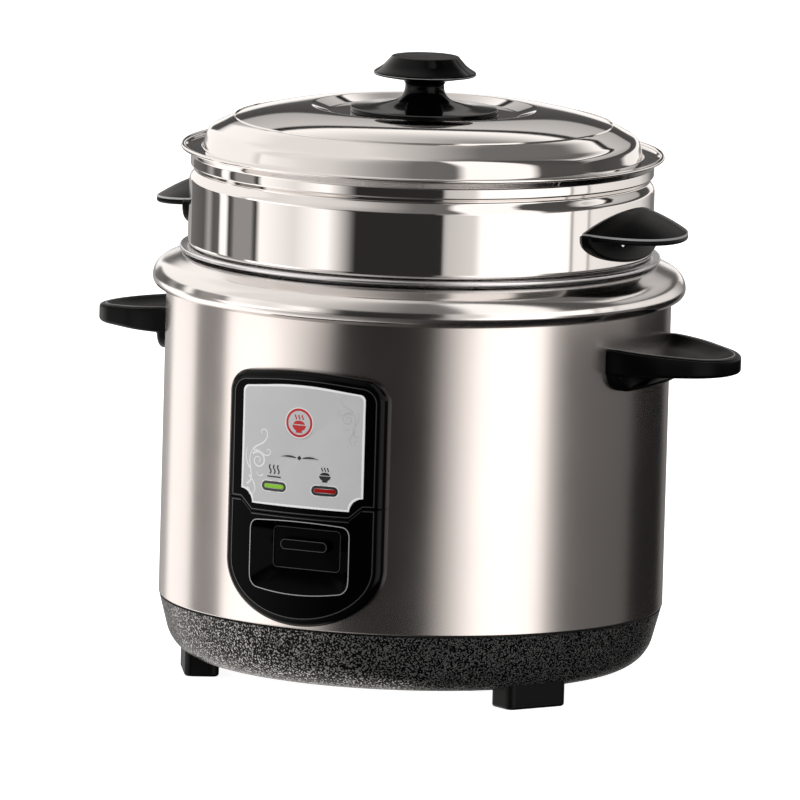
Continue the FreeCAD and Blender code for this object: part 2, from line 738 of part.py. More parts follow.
def foot(angle):
    """Rubber-tipped block under the base, its top shaped to the base's round."""
    outer = SHELL_RADIUS - FOOT_INSET
    half = FOOT_WIDTH / 2
    plan = [(outer - FOOT_DEPTH, -half, FOOT_CORNER), (outer, -half, FOOT_CORNER),
            (outer, half, FOOT_CORNER), (outer - FOOT_DEPTH, half, FOOT_CORNER)]
    body = plate_xy(plan, 0, BASE_TOP)
    body = rounded_edges(body, FOOT_EDGE, at_level(0))
    profile = base_profile()
    filled = [(0, BASE_TOP, 0)] + profile[:-1] + [(0, FOOT_HEIGHT, 0)]
    body = body.cut(turned(filled)).cut(pipe(FAR, SHELL_RADIUS - BASE_STEP, 0, BASE_TOP))
    body = max(body.Solids, key=lambda solid: solid.Volume)
    place = foot_screw_radius()
    bore = disc(SCREW_HEAD_RADIUS + RUN_GAP, 0, FOOT_SCREW_BORE, place)
    hole = disc(SCREW_RADIUS + PIN_GAP, 0, BASE_TOP, place)
    return on_circle(body.cut([bore, hole]), angle)


def foot_screws():
    """One screw up through each foot into the base."""
    length = FOOT_HEIGHT + BASE_WALL + BOSS_HEIGHT - FOOT_SCREW_BORE
    places = circle_places(foot_screw_radius(), FOOT_COUNT, REAR_ANGLE)
    return Part.makeCompound([upright_bolt(x, y, FOOT_SCREW_BORE, length) for x, y in places])


def bottom_cover():
    """Steel cover under the works, with a ring of vent slots."""
    plate = disc(COVER_RADIUS, COVER_TOP - COVER_WALL, COVER_TOP)
    slot = block(VENT_INNER, VENT_OUTER, -VENT_WIDTH / 2, VENT_WIDTH / 2, 0, COVER_TOP)
    slots = [on_circle(slot, FULL_TURN * index / VENT_COUNT) for index in range(VENT_COUNT)]
    places = circle_places(cover_screw_radius(), COVER_SCREW_COUNT, cover_screw_start())
    holes = [disc(SCREW_RADIUS + PIN_GAP, 0, COVER_TOP, x, y) for x, y in places]
    return plate.cut(slots + holes)


def bottom_cover_screws():
    """Screws up through the cover into the base's bosses."""
    places = circle_places(cover_screw_radius(), COVER_SCREW_COUNT, cover_screw_start())
    seat = COVER_TOP - COVER_WALL
    return Part.makeCompound([upright_bolt(x, y, seat, COVER_WALL + BOSS_HEIGHT) for x, y in places])


def panel_window():
    """Cutting tool: the shell's opening behind the panel, for the funnel, rails and lamps."""
    half = max(FUNNEL_WIDTH / 2, KEY_HALF + RUN_GAP + RAIL_WALL) + SEAT_GAP
    low = min(FUNNEL_LEVEL - FUNNEL_HEIGHT / 2, KEY_LOW - KEY_TRAVEL) - WINDOW_MARGIN
    high = LENS_LEVEL + HOLDER_HEIGHT / 2 + WINDOW_MARGIN
    return block(-half, half, -FAR, 0, low, high)


def handle_screw_level():
    """Height of the handle screws, in the middle of the pad."""
    return HANDLE_TOP - HANDLE_THICKNESS - HANDLE_PAD_DROP / 4


def shell_screw_places():
    """(angle, height) of every screw through the shell."""
    places = [(side + offset, handle_screw_level())
              for side in (LEFT_ANGLE, RIGHT_ANGLE) for offset in (-HANDLE_SCREW_ANGLE, HANDLE_SCREW_ANGLE)]
    places += [(FRONT_ANGLE + offset, PANEL_BOTTOM + rise)
               for rise in PANEL_SCREW_RISES for offset in (-PANEL_SCREW_ANGLE, PANEL_SCREW_ANGLE)]
    places += [(REAR_ANGLE + offset, INLET_LEVEL) for offset in (-INLET_SCREW_ANGLE, INLET_SCREW_ANGLE)]
    return places


def body_shell():
    """Straight steel wall with a hem at its foot."""
    groove = SHELL_RADIUS - HEM_GROOVE
    top = RING_LIP + RING_OVERLAP
    wall = turned([
        (SHELL_INSIDE, BASE_TOP, 0), (SHELL_RADIUS, BASE_TOP, 0),
        (SHELL_RADIUS, BASE_TOP + HEM_HEIGHT, 0), (groove, BASE_TOP + HEM_HEIGHT + HEM_GROOVE, 0),
        (SHELL_RADIUS, BASE_TOP + HEM_HEIGHT + 2 * HEM_GROOVE, 0), (SHELL_RADIUS, top, 0),
        (SHELL_INSIDE, top, 0),
    ])
    holes = [on_circle(radial_hole(SCREW_RADIUS + PIN_GAP, level), angle)
             for angle, level in shell_screw_places()]
    return wall.cut([panel_window(), inlet_prism(SEAT_GAP, FAR)] + holes)


def top_ring():
    """Flared polished ring: lip outside the shell, shoulder, and a skirt round the liner."""
    inner = LINER_RADIUS + SEAT_GAP
    profile = [
        (SHELL_RADIUS + SEAT_GAP + RING_WALL / 2, RING_LIP, 0),
        (RING_RADIUS, RING_LIP + RING_SIDE_LOW, RING_CURL_ROUND),
        (RING_RADIUS, RING_LIP + RING_SIDE_HIGH, RING_SHOULDER_ROUND),
        (inner, RING_TOP, RING_INNER_ROUND),
        (inner, RING_TOP - RING_SKIRT, 0),
    ]
    return sheet(profile, RING_WALL)


def inner_liner():
    """Pressed liner of the pot chamber, open in the middle of its floor."""
    foot_radius = LINER_RADIUS - LINER_CONE_IN - LINER_FOOT_IN
    profile = [
        (LINER_RADIUS, RING_TOP - RING_INNER_ROUND, 0),
        (LINER_RADIUS, LINER_FLOOR + LINER_CONE_RISE, LINER_ROUND),
        (LINER_RADIUS - LINER_CONE_IN, LINER_FLOOR + LINER_CONE_LOW, LINER_FOOT_IN),
        (foot_radius, LINER_FLOOR, LINER_FOOT_IN),
        (LINER_HOLE_RADIUS, LINER_FLOOR, 0),
    ]
    liner = sheet(profile, -LINER_WALL)
    holes = [disc(TERMINAL_HOLE, 0, PLATE_BOTTOM, x, y) for x, y in terminal_places()]
    holes += [disc(SCREW_RADIUS + PIN_GAP, 0, PLATE_BOTTOM, 0, y) for y in bracket_screw_rows()]
    return liner.cut(holes)


# Side handles


def tongue_plan(reach, half_width):
    """Closed plan of a tongue from inside the shell: sides that draw in from a shoulder to a round tip."""
    shoulder = SHELL_RADIUS + HANDLE_SHOULDER * reach
    tip = SHELL_RADIUS + reach
    tip_half = HANDLE_TIP_SHARE * half_width
    slant = math.atan2(half_width - tip_half, tip - shoulder)
    tip_round = HANDLE_TIP_FILL * tip_half / math.tan((math.pi / 2 - slant) / 2)
    side_round = HANDLE_TIP_FILL * HANDLE_SHOULDER * reach / math.tan(slant / 2)
    root = SHELL_RADIUS - 2 * HANDLE_PAD_WALL
    return [(root, -half_width, 0), (shoulder, -half_width, side_round), (tip, -tip_half, tip_round),
            (tip, tip_half, tip_round), (shoulder, half_width, side_round), (root, half_width, 0)]


def side_handle(angle):
    """Tongue handle with a level underside, a dished top that falls to the tip, and a pad on the shell."""
    low = HANDLE_TOP - HANDLE_THICKNESS
    deep = low - HANDLE_THICKNESS
    tongue = plate_xy(tongue_plan(HANDLE_REACH, HANDLE_HALF_WIDTH), deep, HANDLE_TOP)
    tongue = rounded_edges(tongue, HANDLE_TOP_ROUND, at_level(HANDLE_TOP))
    half_dish = (HANDLE_REACH - HANDLE_RIM) / 2
    bend = (half_dish ** 2 + HANDLE_DISH ** 2) / (2 * HANDLE_DISH)
    dish_axis = Vector(SHELL_RADIUS + half_dish, -FAR / 2, HANDLE_TOP + bend - HANDLE_DISH)
    dish = Part.makeCylinder(bend, FAR, dish_axis, ALONG_Y)
    inner = tongue_plan(HANDLE_REACH - HANDLE_RIM, HANDLE_HALF_WIDTH - HANDLE_RIM)
    tongue = tongue.cut(dish.common(plate_xy(inner, low, HANDLE_TOP + HANDLE_RIM)))
    tilt = math.degrees(math.atan2(HANDLE_FALL, HANDLE_REACH))
    tongue = tongue.rotated(Vector(SHELL_RADIUS, 0, HANDLE_TOP), ALONG_Y, tilt)
    tongue = tongue.common(block(0, FAR, -FAR, FAR, low, FAR))
    tongue = rounded_edges(tongue, HANDLE_BOTTOM_ROUND, at_level(low))
    pad_low = low - HANDLE_PAD_DROP
    half = HANDLE_HALF_WIDTH
    corner = HANDLE_PAD_DROP
    outline = [(-half, low + HANDLE_BOTTOM_ROUND, 0), (half, low + HANDLE_BOTTOM_ROUND, 0),
               (half - corner / 3, pad_low, corner), (-half + corner / 3, pad_low, corner)]
    pad = plate_yz(outline, 0, FAR).common(disc(SHELL_RADIUS + HANDLE_PAD_WALL, 0, FAR))
    inside = disc(SHELL_RADIUS + SEAT_GAP, 0, FAR)
    whole = fused([tongue.cut(inside), pad.cut(inside)])
    holes = [on_circle(radial_bolt_room(), offset) for offset in (-HANDLE_SCREW_ANGLE, HANDLE_SCREW_ANGLE)]
    return on_circle(whole.cut(holes), angle)


def radial_bolt_room():
    """Cutting tool: the blind hole of one handle screw."""
    return Part.makeCylinder(SCREW_RADIUS + PIN_GAP, SHELL_INSIDE + HANDLE_SCREW_LENGTH,
                             Vector(0, 0, handle_screw_level()), ALONG_X)


def shell_bolt(length, level):
    """Screw from inside the shell, pointing outwards along +X."""
    seat = SHELL_INSIDE - SEAT_GAP
    return bolt(seat, SCREW_HEAD_RADIUS, SCREW_HEAD_HEIGHT, SCREW_RADIUS, length, level)


def handle_screws():
    """Two screws from inside the shell into each side handle."""
    screw = shell_bolt(HANDLE_SCREW_LENGTH, handle_screw_level())
    angles = [side + offset for side in (LEFT_ANGLE, RIGHT_ANGLE)
              for offset in (-HANDLE_SCREW_ANGLE, HANDLE_SCREW_ANGLE)]
    return Part.makeCompound([on_circle(screw, angle) for angle in angles])


# Front panel


def crowned_outline(half, low, high, arch, sag, top_corner, bottom_corner):
    """Closed outline of (x, z, round) triples with an arched top and a bowed bottom."""
    top_bend = CROWN_SHARE * half ** 2 / arch
    outline = [(-half, high - arch, top_corner), (0, high, top_bend), (half, high - arch, top_corner)]
    if sag <= 0:
        return outline + [(half, low, bottom_corner), (-half, low, bottom_corner)]
    bottom_bend = CROWN_SHARE / 2 * half ** 2 / sag
    right = (half, low + sag, bottom_corner)
    left = (-half, low + sag, bottom_corner)
    return outline + [right, (0, low, bottom_bend), left]


def front_ring(inner, outer):
    """The front half of a ring about Z, for shaping curved panels."""
    ring = pipe(outer, inner, 0, FAR)
    return ring.cut(block(-FAR, FAR, 0, FAR, 0, FAR))


def whole_panel():
    """Panel before it is split: outline wrapped on the shell, its outer edge rounded."""
    outline = crowned_outline(PANEL_WIDTH / 2, PANEL_BOTTOM, PANEL_TOP, PANEL_ARCH, PANEL_SAG,
                              PANEL_TOP_CORNER, PANEL_BOTTOM_CORNER)
    prism = plate_xz(outline, -FAR, 0)
    panel = prism.common(front_ring(SHELL_RADIUS + SEAT_GAP, PANEL_RADIUS))
    round_radius = min(PANEL_EDGE, PANEL_DEPTH - 2 * SEAT_GAP)

    def on_face(points):
        return all(abs(math.hypot(point.x, point.y) - PANEL_RADIUS) < SMALLEST_ROUND for point in points)

    return rounded_edges(panel, round_radius, on_face)


def lower_zone(drop):
    """Cutting tool: everything below the split line, which dips under the label."""
    half = LABEL_WIDTH / 2
    line = SPLIT - drop
    dip = line - SPLIT_DIP
    points = [(-FAR, 0, 0), (FAR, 0, 0), (FAR, line, 0), (half, line, 0), (half - LABEL_NOTCH, dip, 0),
              (-half + LABEL_NOTCH, dip, 0), (-half, line, 0), (-FAR, line, 0)]
    return plate_xz(points, -FAR, 0)


def label_prism(grow):
    """Label outline as a prism: arched top, hollow lower corners."""
    half = LABEL_WIDTH / 2 + grow
    low = LABEL_BOTTOM - grow
    outline = crowned_outline(half, low, LABEL_BOTTOM + LABEL_HEIGHT + grow, LABEL_ARCH, 0, LABEL_CORNER, 0)
    prism = plate_xz(outline, -FAR, 0)
    corners = [Vector(side * (half + grow), -FAR, low - grow) for side in (-1, 1)]
    return prism.cut([Part.makeCylinder(LABEL_NOTCH - grow, FAR, corner, ALONG_Y) for corner in corners])


def lens_prism(side, grow):
    """Capsule of one lamp lens as a prism."""
    half = LENS_LENGTH / 2 + grow
    half_height = LENS_HEIGHT / 2 + grow
    outline = rectangle(half, half_height, LENS_LEVEL, half_height - SMALLEST_ROUND)
    moved = [(x + side * LENS_SPACING / 2, z, rounding) for x, z, rounding in outline]
    return plate_xz(moved, -FAR, 0)


def panel_screw_holes():
    """Cutting tools: blind holes of the panel screws."""
    depth = SHELL_INSIDE + PANEL_SCREW_LENGTH
    holes = []
    for rise in PANEL_SCREW_RISES:
        hole = Part.makeCylinder(SCREW_RADIUS + PIN_GAP, depth, Vector(0, 0, PANEL_BOTTOM + rise), ALONG_X)
        holes += [on_circle(hole, FRONT_ANGLE + offset) for offset in (-PANEL_SCREW_ANGLE, PANEL_SCREW_ANGLE)]
    return holes


def panel_frame():
    """Upper half of the panel, with the label's pocket and the lens slots."""
    frame = whole_panel().cut(lower_zone(0))
    pocket = label_prism(SEAT_GAP).common(front_ring(PANEL_RADIUS - LABEL_POCKET, FAR))
    slots = [lens_prism(side, SEAT_GAP) for side in (-1, 1)]
    return frame.cut([pocket] + slots + panel_screw_holes())


def funnel_tool():
    """Cutting tool: the funnel from the panel's face to the key opening, run on past both."""
    mouth = -PANEL_RADIUS
    throat = mouth + FUNNEL_DEPTH
    wires = []
    for y in (mouth - FUNNEL_DEPTH / 2, throat + KEY_WALL / 2):
        share = (y - mouth) / FUNNEL_DEPTH
        width = FUNNEL_WIDTH + share * (OPENING_WIDTH - FUNNEL_WIDTH)
        height = FUNNEL_HEIGHT + share * (OPENING_HEIGHT - FUNNEL_HEIGHT)
        level = FUNNEL_LEVEL + share * (OPENING_LEVEL - FUNNEL_LEVEL)
        corner = FUNNEL_CORNER + share * (OPENING_CORNER - FUNNEL_CORNER)
        outline = rectangle(width / 2, height / 2, level, corner)
        places = [(Vector(x, y, z), rounding) for x, z, rounding in outline]
        wires.append(Part.Wire(path_edges(places, True)))
    return Part.makeLoft(wires, True, True)


def panel_lower():
    """Lower half of the panel: funnel recess for the finger and guide rails for the key."""
    body = whole_panel().common(lower_zone(SPLIT_GAP))
    throat = -(PANEL_RADIUS - FUNNEL_DEPTH)
    half = KEY_HALF + RUN_GAP + RAIL_WALL
    cup_high = SPLIT - SPLIT_GAP - SPLIT_DIP
    cup = block(-half, half, -SHELL_RADIUS - PANEL_DEPTH / 2, throat, KEY_LOW - KEY_TRAVEL, cup_high)
    back = KEY_BACK + RUN_GAP
    rails = []
    for side in (-1, 1):
        inner, outer = side * (half - RAIL_WALL), side * half
        lip = side * (half - RAIL_WALL - RAIL_LIP)
        end = back + RAIL_LIP_WALL
        rails.append(block(min(inner, outer), max(inner, outer), throat, end, KEY_LOW, KEY_HIGH))
        rails.append(block(min(lip, outer), max(lip, outer), back, end, KEY_LOW, KEY_HIGH))
    solid = fused([body, cup] + rails)
    return solid.cut([funnel_tool()] + panel_screw_holes())


def label_plate():
    """Printed plate in the upper panel's pocket, with the lens slots."""
    floor = PANEL_RADIUS - LABEL_POCKET + SEAT_GAP / 2
    plate = label_prism(0).common(front_ring(floor, floor + LABEL_WALL))
    return plate.cut([lens_prism(side, SEAT_GAP) for side in (-1, 1)])


def lens(side):
    """Coloured lens of one lamp, through label and frame."""
    outer = PANEL_RADIUS + LENS_PROUD - LABEL_POCKET + LABEL_WALL
    return lens_prism(side, 0).common(front_ring(outer - LENS_WALL, outer))


def lamp(side):
    """Neon lamp lying behind its lens."""
    middle = side * LENS_SPACING / 2
    start = Vector(middle - LAMP_LENGTH / 2, -SHELL_RADIUS + LAMP_DEPTH, LENS_LEVEL)
    tube = Part.makeCylinder(LAMP_RADIUS, LAMP_LENGTH, start, ALONG_X)

    def at_end(points):
        places = [point.x for point in points]
        return max(places) - min(places) < SMALLEST_ROUND

    return rounded_edges(tube, LAMP_RADIUS / 2, at_end)


def lamp_holder():
    """Strip behind the lamps, on two posts against the panel."""
    front = -SHELL_RADIUS + LAMP_DEPTH + LAMP_RADIUS + SEAT_GAP
    half = HOLDER_WIDTH / 2
    low, high = LENS_LEVEL - HOLDER_HEIGHT / 2, LENS_LEVEL + HOLDER_HEIGHT / 2
    strip = block(-half, half, front, front + HOLDER_WALL, low, high)
    posts = [block(start, start + HOLDER_POST, -PANEL_RADIUS, front, low, high)
             for start in (-half, half - HOLDER_POST)]
    return fused([strip] + posts).common(disc(SHELL_RADIUS + SEAT_GAP / 2, 0, FAR))


def panel_screws():
    """Screws from inside the shell into both halves of the panel."""
    screws = []
    for rise in PANEL_SCREW_RISES:
        screw = shell_bolt(PANEL_SCREW_LENGTH, PANEL_BOTTOM + rise)
        screws += [on_circle(screw, FRONT_ANGLE + offset)
                   for offset in (-PANEL_SCREW_ANGLE, PANEL_SCREW_ANGLE)]
    return Part.makeCompound(screws)


# Switch works


def switch_key():
    """Sliding key: a plate behind the opening, a finger bar, and a tail down to the lever."""
    plate = block(-KEY_HALF, KEY_HALF, KEY_FRONT, KEY_BACK, KEY_LOW, KEY_HIGH)
    bar_level = OPENING_LEVEL + KEY_BAR_LIFT
    bar = plate_xz(rectangle(KEY_BAR_WIDTH / 2, KEY_BAR_HEIGHT / 2, bar_level, KEY_BAR_ROUND),
                   KEY_FRONT - KEY_BAR_PROUD, KEY_FRONT)
    half = KEY_TAIL_WIDTH / 2
    bottom = LEVER_LEVEL - RUN_GAP * 2 - KEY_TAIL_BELOW
    bridge = block(-half, half, KEY_BACK, TAIL_BACK, KEY_LOW, KEY_LOW + KEY_TAIL_WALL)
    tail = block(-half, half, TAIL_FRONT, TAIL_BACK, bottom, KEY_LOW + KEY_TAIL_WALL)
    slot_half = LEVER_TONGUE / 2 + RUN_GAP
    slot_low = LEVER_LEVEL - 2 * RUN_GAP
    slot = block(-slot_half, slot_half, -FAR, 0, slot_low, slot_low + LEVER_WALL + 4 * RUN_GAP)
    return fused([plate, bar, bridge, tail.cut(slot)])


def switch_lever():
    """Pressed lever: front tongue in the key, ears on the pin, rear fork under the rod's collar."""
    half = LEVER_WIDTH / 2
    pivot = -LEVER_PIVOT_OFFSET
    top = LEVER_LEVEL + LEVER_WALL
    tongue_start = TAIL_BACK + LEVER_TIP
    bar = block(-half, half, tongue_start, FORK_REACH, LEVER_LEVEL, top)
    tongue = block(-LEVER_TONGUE / 2, LEVER_TONGUE / 2, TAIL_FRONT - LEVER_TIP, tongue_start,
                   LEVER_LEVEL, top)
    ears = []
    for side in (-1, 1):
        low_x = min(side * half, side * (half - LEVER_EAR_WALL))
        centre = Vector(low_x, pivot, PIVOT_LEVEL)
        ears.append(Part.makeCylinder(LEVER_EAR_RADIUS, LEVER_EAR_WALL, centre, ALONG_X))
        ears.append(block(low_x, low_x + LEVER_EAR_WALL, pivot - LEVER_EAR_RADIUS, pivot + LEVER_EAR_RADIUS,
                          LEVER_LEVEL, PIVOT_LEVEL))
    solid = fused([bar, tongue] + ears)
    bore = Part.makeCylinder(PIN_RADIUS + PIN_GAP, FAR, Vector(-FAR / 2, pivot, PIVOT_LEVEL), ALONG_X)
    fork = ROD_RADIUS + 2 * RUN_GAP
    gap = fused([disc(fork, LEVER_LEVEL, top), block(-fork, fork, 0, FAR, LEVER_LEVEL, top)])
    return solid.cut([bore, gap])


def bracket_inside():
    """Half the clear width between the bracket's cheeks."""
    return LEVER_WIDTH / 2 + BRACKET_SIDE_GAP


def bracket_screw_rows():
    """Y places of the two bracket screws."""
    middle = -LEVER_PIVOT_OFFSET
    return (middle - BRACKET_SCREW_SPACING / 2, middle + BRACKET_SCREW_SPACING / 2)


def button_place():
    """Y place of the micro switch's button."""
    return -LEVER_PIVOT_OFFSET - SWITCH_ARM


def shelf_top():
    """Height of the shelf that carries the micro switch."""
    return LEVER_LEVEL - BUTTON_GAP - BUTTON_PROUD - SWITCH_HEIGHT


def lever_bracket():
    """Bracket under the liner: cheeks for the pin and a shelf for the micro switch."""
    inside = bracket_inside()
    outside = inside + BRACKET_WALL
    rear = -LEVER_PIVOT_OFFSET + BRACKET_LENGTH / 2
    front = -LEVER_PIVOT_OFFSET - BRACKET_LENGTH / 2
    shelf = shelf_top()
    shelf_front = button_place() - SHELF_LENGTH / 2
    cheek = [(rear, LINER_FLOOR, 0), (rear, PIVOT_LEVEL - LEVER_EAR_RADIUS, 0),
             (front, shelf - BRACKET_WALL, 0), (shelf_front, shelf - BRACKET_WALL, 0),
             (shelf_front, shelf + SWITCH_HEIGHT, 0), (front, PIVOT_LEVEL, 0), (front, LINER_FLOOR, 0)]
    sides = [plate_yz(cheek, inside, outside), plate_yz(cheek, -outside, -inside)]
    top = block(-outside, outside, front, rear, LINER_FLOOR - BRACKET_WALL, LINER_FLOOR)
    floor = block(-outside, outside, shelf_front, front, shelf - BRACKET_WALL, shelf)
    solid = fused(sides + [top, floor])
    bore_start = Vector(-FAR / 2, -LEVER_PIVOT_OFFSET, PIVOT_LEVEL)
    bore = Part.makeCylinder(PIN_RADIUS + PIN_GAP, FAR, bore_start, ALONG_X)
    screw_low = LINER_FLOOR - 2 * BRACKET_WALL
    holes = [disc(SCREW_RADIUS + PIN_GAP, screw_low, LINER_FLOOR, 0, y) for y in bracket_screw_rows()]
    return solid.cut([bore] + holes)


def bracket_screws():
    """Screws down through the liner floor into the bracket."""
    seat = LINER_FLOOR + LINER_WALL
    screws = []
    for y in bracket_screw_rows():
        head = disc(SCREW_HEAD_RADIUS, seat, seat + SCREW_HEAD_HEIGHT, 0, y)
        shank = disc(SCREW_RADIUS, LINER_FLOOR - 2 * BRACKET_WALL, seat, 0, y)
        screws.append(head.fuse(shank).removeSplitter())
    return Part.makeCompound(screws)


def lever_pin():
    """Headed pin through bracket and lever."""
    half = bracket_inside() + BRACKET_WALL
    left = Vector(-half - PIN_HEAD, -LEVER_PIVOT_OFFSET, PIVOT_LEVEL)
    right = Vector(half, -LEVER_PIVOT_OFFSET, PIVOT_LEVEL)
    shank = Part.makeCylinder(PIN_RADIUS, 2 * half + 2 * PIN_HEAD, left, ALONG_X)
    heads = [Part.makeCylinder(PIN_HEAD_RADIUS, PIN_HEAD, start, ALONG_X) for start in (left, right)]
    return fused([shank] + heads)


def micro_switch():
    """Small snap switch on the bracket's shelf, with two blades at its front end."""
    low = shelf_top()
    middle = button_place()
    half = SWITCH_WIDTH / 2
    front = middle - SWITCH_LENGTH / 2
    case = block(-half, half, front, middle + SWITCH_LENGTH / 2, low, low + SWITCH_HEIGHT)
    size = BUTTON_SIZE / 2 + PIN_GAP * 2
    well = block(-size, size, middle - size, middle + size, low + SWITCH_HEIGHT - BUTTON_SUNK - RUN_GAP, FAR)
    blades = [block(x - BLADE_SIZE / 2, x + BLADE_SIZE / 2, front - BLADE_LENGTH, front,
                    blade_level() - 2 * BLADE_SIZE, blade_level() + 2 * BLADE_SIZE)
              for x in (-BLADE_SPACING / 2, BLADE_SPACING / 2)]
    return fused([case.cut(well)] + blades)


def blade_level():
    """Height of the micro switch's blades."""
    return shelf_top() + SWITCH_HEIGHT / 3


def micro_switch_button():
    """Button of the micro switch, under the lever."""
    top = shelf_top() + SWITCH_HEIGHT + BUTTON_PROUD
    middle = button_place()
    half = BUTTON_SIZE / 2
    low = shelf_top() + SWITCH_HEIGHT - BUTTON_SUNK + BUTTON_TRAVEL
    return block(-half, half, middle - half, middle + half, low, top)


# Heater and thermostat


def terminal_places():
    """Places of the heater's terminals, at the open ends of its tube."""
    half = math.radians(TUBE_OPEN_ANGLE / 2)
    inset = math.asin(TERMINAL_RADIUS / TUBE_RING_RADIUS)
    angles = (math.radians(REAR_ANGLE) - half + inset, math.radians(REAR_ANGLE) + half - inset)
    return [(TUBE_RING_RADIUS * math.cos(angle), TUBE_RING_RADIUS * math.sin(angle)) for angle in angles]


def tube_ring(radius):
    """The heater tube's ring at the plate's underside, open at the rear."""
    circle = Part.makeCircle(radius, Vector(TUBE_RING_RADIUS, 0, PLATE_BOTTOM), ALONG_Y)
    section = Part.Face(Part.Wire(circle))
    ring = section.revolve(ORIGIN, UP, FULL_TURN - TUBE_OPEN_ANGLE)
    return on_circle(ring, REAR_ANGLE + TUBE_OPEN_ANGLE / 2)


def heating_plate():
    """Cast plate with a middle hole and a groove for the heater tube."""
    plate = turned([(PLATE_HOLE_RADIUS, PLATE_BOTTOM, 0), (PLATE_RADIUS, PLATE_BOTTOM, 0),
                    (PLATE_RADIUS, PLATE_TOP, PLATE_EDGE), (PLATE_HOLE_RADIUS, PLATE_TOP, 0)])
    groove = bead(TUBE_RING_RADIUS, TUBE_RADIUS + SEAT_GAP, PLATE_BOTTOM)
    return plate.cut(groove)


def heater_terminals():
    """Two pins down from the ends of the heater tube."""
    low = PLATE_BOTTOM - TERMINAL_HEIGHT
    high = PLATE_BOTTOM + TUBE_RADIUS / 2
    return Part.makeCompound([disc(TERMINAL_RADIUS, low, high, x, y) for x, y in terminal_places()])


def plate_posts():
    """Posts that carry the plate on the liner floor."""
    low = LINER_FLOOR + LINER_WALL
    places = circle_places(PLATE_RADIUS - POST_INSET, POST_COUNT, REAR_ANGLE + TUBE_OPEN_ANGLE)
    return Part.makeCompound([disc(POST_RADIUS, low, PLATE_BOTTOM, x, y) for x, y in places])


def sleeve_outer():
    """Outer radius of the thermostat's sleeve."""
    return CAP_RADIUS + RUN_GAP + SLEEVE_WALL


def thermostat_sleeve():
    """Guide sleeve under the plate, flanged at its top and closed round the rod below."""
    bore = CAP_RADIUS + RUN_GAP
    outer = sleeve_outer()
    wall = pipe(outer, bore, SLEEVE_BOTTOM, PLATE_BOTTOM)
    flange = pipe(outer + SLEEVE_FLANGE, bore, PLATE_BOTTOM - SLEEVE_FLANGE_WALL, PLATE_BOTTOM)
    floor = pipe(outer, ROD_RADIUS + RUN_GAP, SLEEVE_BOTTOM, SLEEVE_BOTTOM + SLEEVE_FLANGE_WALL)
    return fused([wall, flange, floor])


def sensor_cap():
    """Sprung cup that touches the pot's bottom."""
    cup = disc(CAP_RADIUS, CAP_TOP - CAP_HEIGHT, CAP_TOP)
    cup = rounded_edges(cup, CAP_WALL, at_level(CAP_TOP))
    return cup.cut(disc(CAP_BORE, CAP_TOP - CAP_HEIGHT, CAP_TOP - CAP_WALL))


def ferrite_disc():
    """Temperature-sensitive disc under the cap's top."""
    return disc(FERRITE_RADIUS, FERRITE_BOTTOM, CAP_TOP - CAP_WALL)


def magnet():
    """Magnet on the rod's head."""
    return disc(MAGNET_RADIUS, MAGNET_TOP - MAGNET_THICKNESS, MAGNET_TOP)


def plunger_rod():
    """Rod with a head under the magnet and a collar above the lever's fork."""
    head_top = MAGNET_TOP - MAGNET_THICKNESS
    head = disc(ROD_FLANGE_RADIUS, head_top - ROD_FLANGE_WALL, head_top)
    shank = disc(ROD_RADIUS, LEVER_LEVEL - ROD_BELOW_LEVER, head_top)
    collar = disc(COLLAR_RADIUS, COLLAR_LEVEL, COLLAR_LEVEL + COLLAR_WALL)
    return fused([shank, head, collar])


def sensor_spring():
    """Spring that lifts the cap against the pot."""
    radius = FERRITE_RADIUS - SENSOR_SPRING_WIRE / 2 - SEAT_GAP
    low = SLEEVE_BOTTOM + SLEEVE_FLANGE_WALL
    return helix_spring(radius, SENSOR_SPRING_WIRE, SENSOR_SPRING_TURNS, low, FERRITE_BOTTOM)


def release_spring():
    """Spring that drops the magnet and lifts the key when the ferrite lets go."""
    return helix_spring(RELEASE_SPRING_RADIUS, RELEASE_SPRING_WIRE, RELEASE_SPRING_TURNS,
                        COLLAR_LEVEL + COLLAR_WALL, SLEEVE_BOTTOM)


def keep_warm_thermostat():
    """Bimetal thermostat under the plate, with a flat tab on each side."""
    place = sleeve_outer() + SLEEVE_FLANGE + WARM_GAP + WARM_RADIUS
    reach = WARM_TAB_REACH * WARM_RADIUS
    body = disc(WARM_RADIUS, PLATE_BOTTOM - WARM_HEIGHT, PLATE_BOTTOM, place)
    tab = block(place - WARM_RADIUS / 3, place + WARM_RADIUS / 3, -reach, reach,
                PLATE_BOTTOM - WARM_HEIGHT * WARM_TAB_LOW, PLATE_BOTTOM - WARM_HEIGHT * WARM_TAB_HIGH)
    return on_circle(body.fuse(tab).removeSplitter(), LEFT_ANGLE + WARM_ANGLE)


def thermal_fuse():
    """Fuse in a sleeve, hung by a tab from the liner floor."""
    level = LINER_FLOOR - FUSE_DROP
    start = Vector(FUSE_SIDE, FUSE_BACK - FUSE_LENGTH / 2, level)
    body = Part.makeCylinder(FUSE_RADIUS, FUSE_LENGTH, start, ALONG_Y)
    tab = block(FUSE_SIDE - FUSE_TAB / 2, FUSE_SIDE + FUSE_TAB / 2,
                FUSE_BACK - FUSE_TAB, FUSE_BACK + FUSE_TAB, level, LINER_FLOOR)
    return fused([body, tab])


# Power inlet and wires


def inlet_prism(grow, depth):
    """Rounded block of the inlet's housing, from the rear face inwards, widened by grow."""
    outline = rectangle(INLET_WIDTH / 2 + grow, INLET_HEIGHT / 2 + grow, INLET_LEVEL, INLET_CORNER)
    return plate_xz(outline, max(SHELL_RADIUS - depth, 0), FAR)


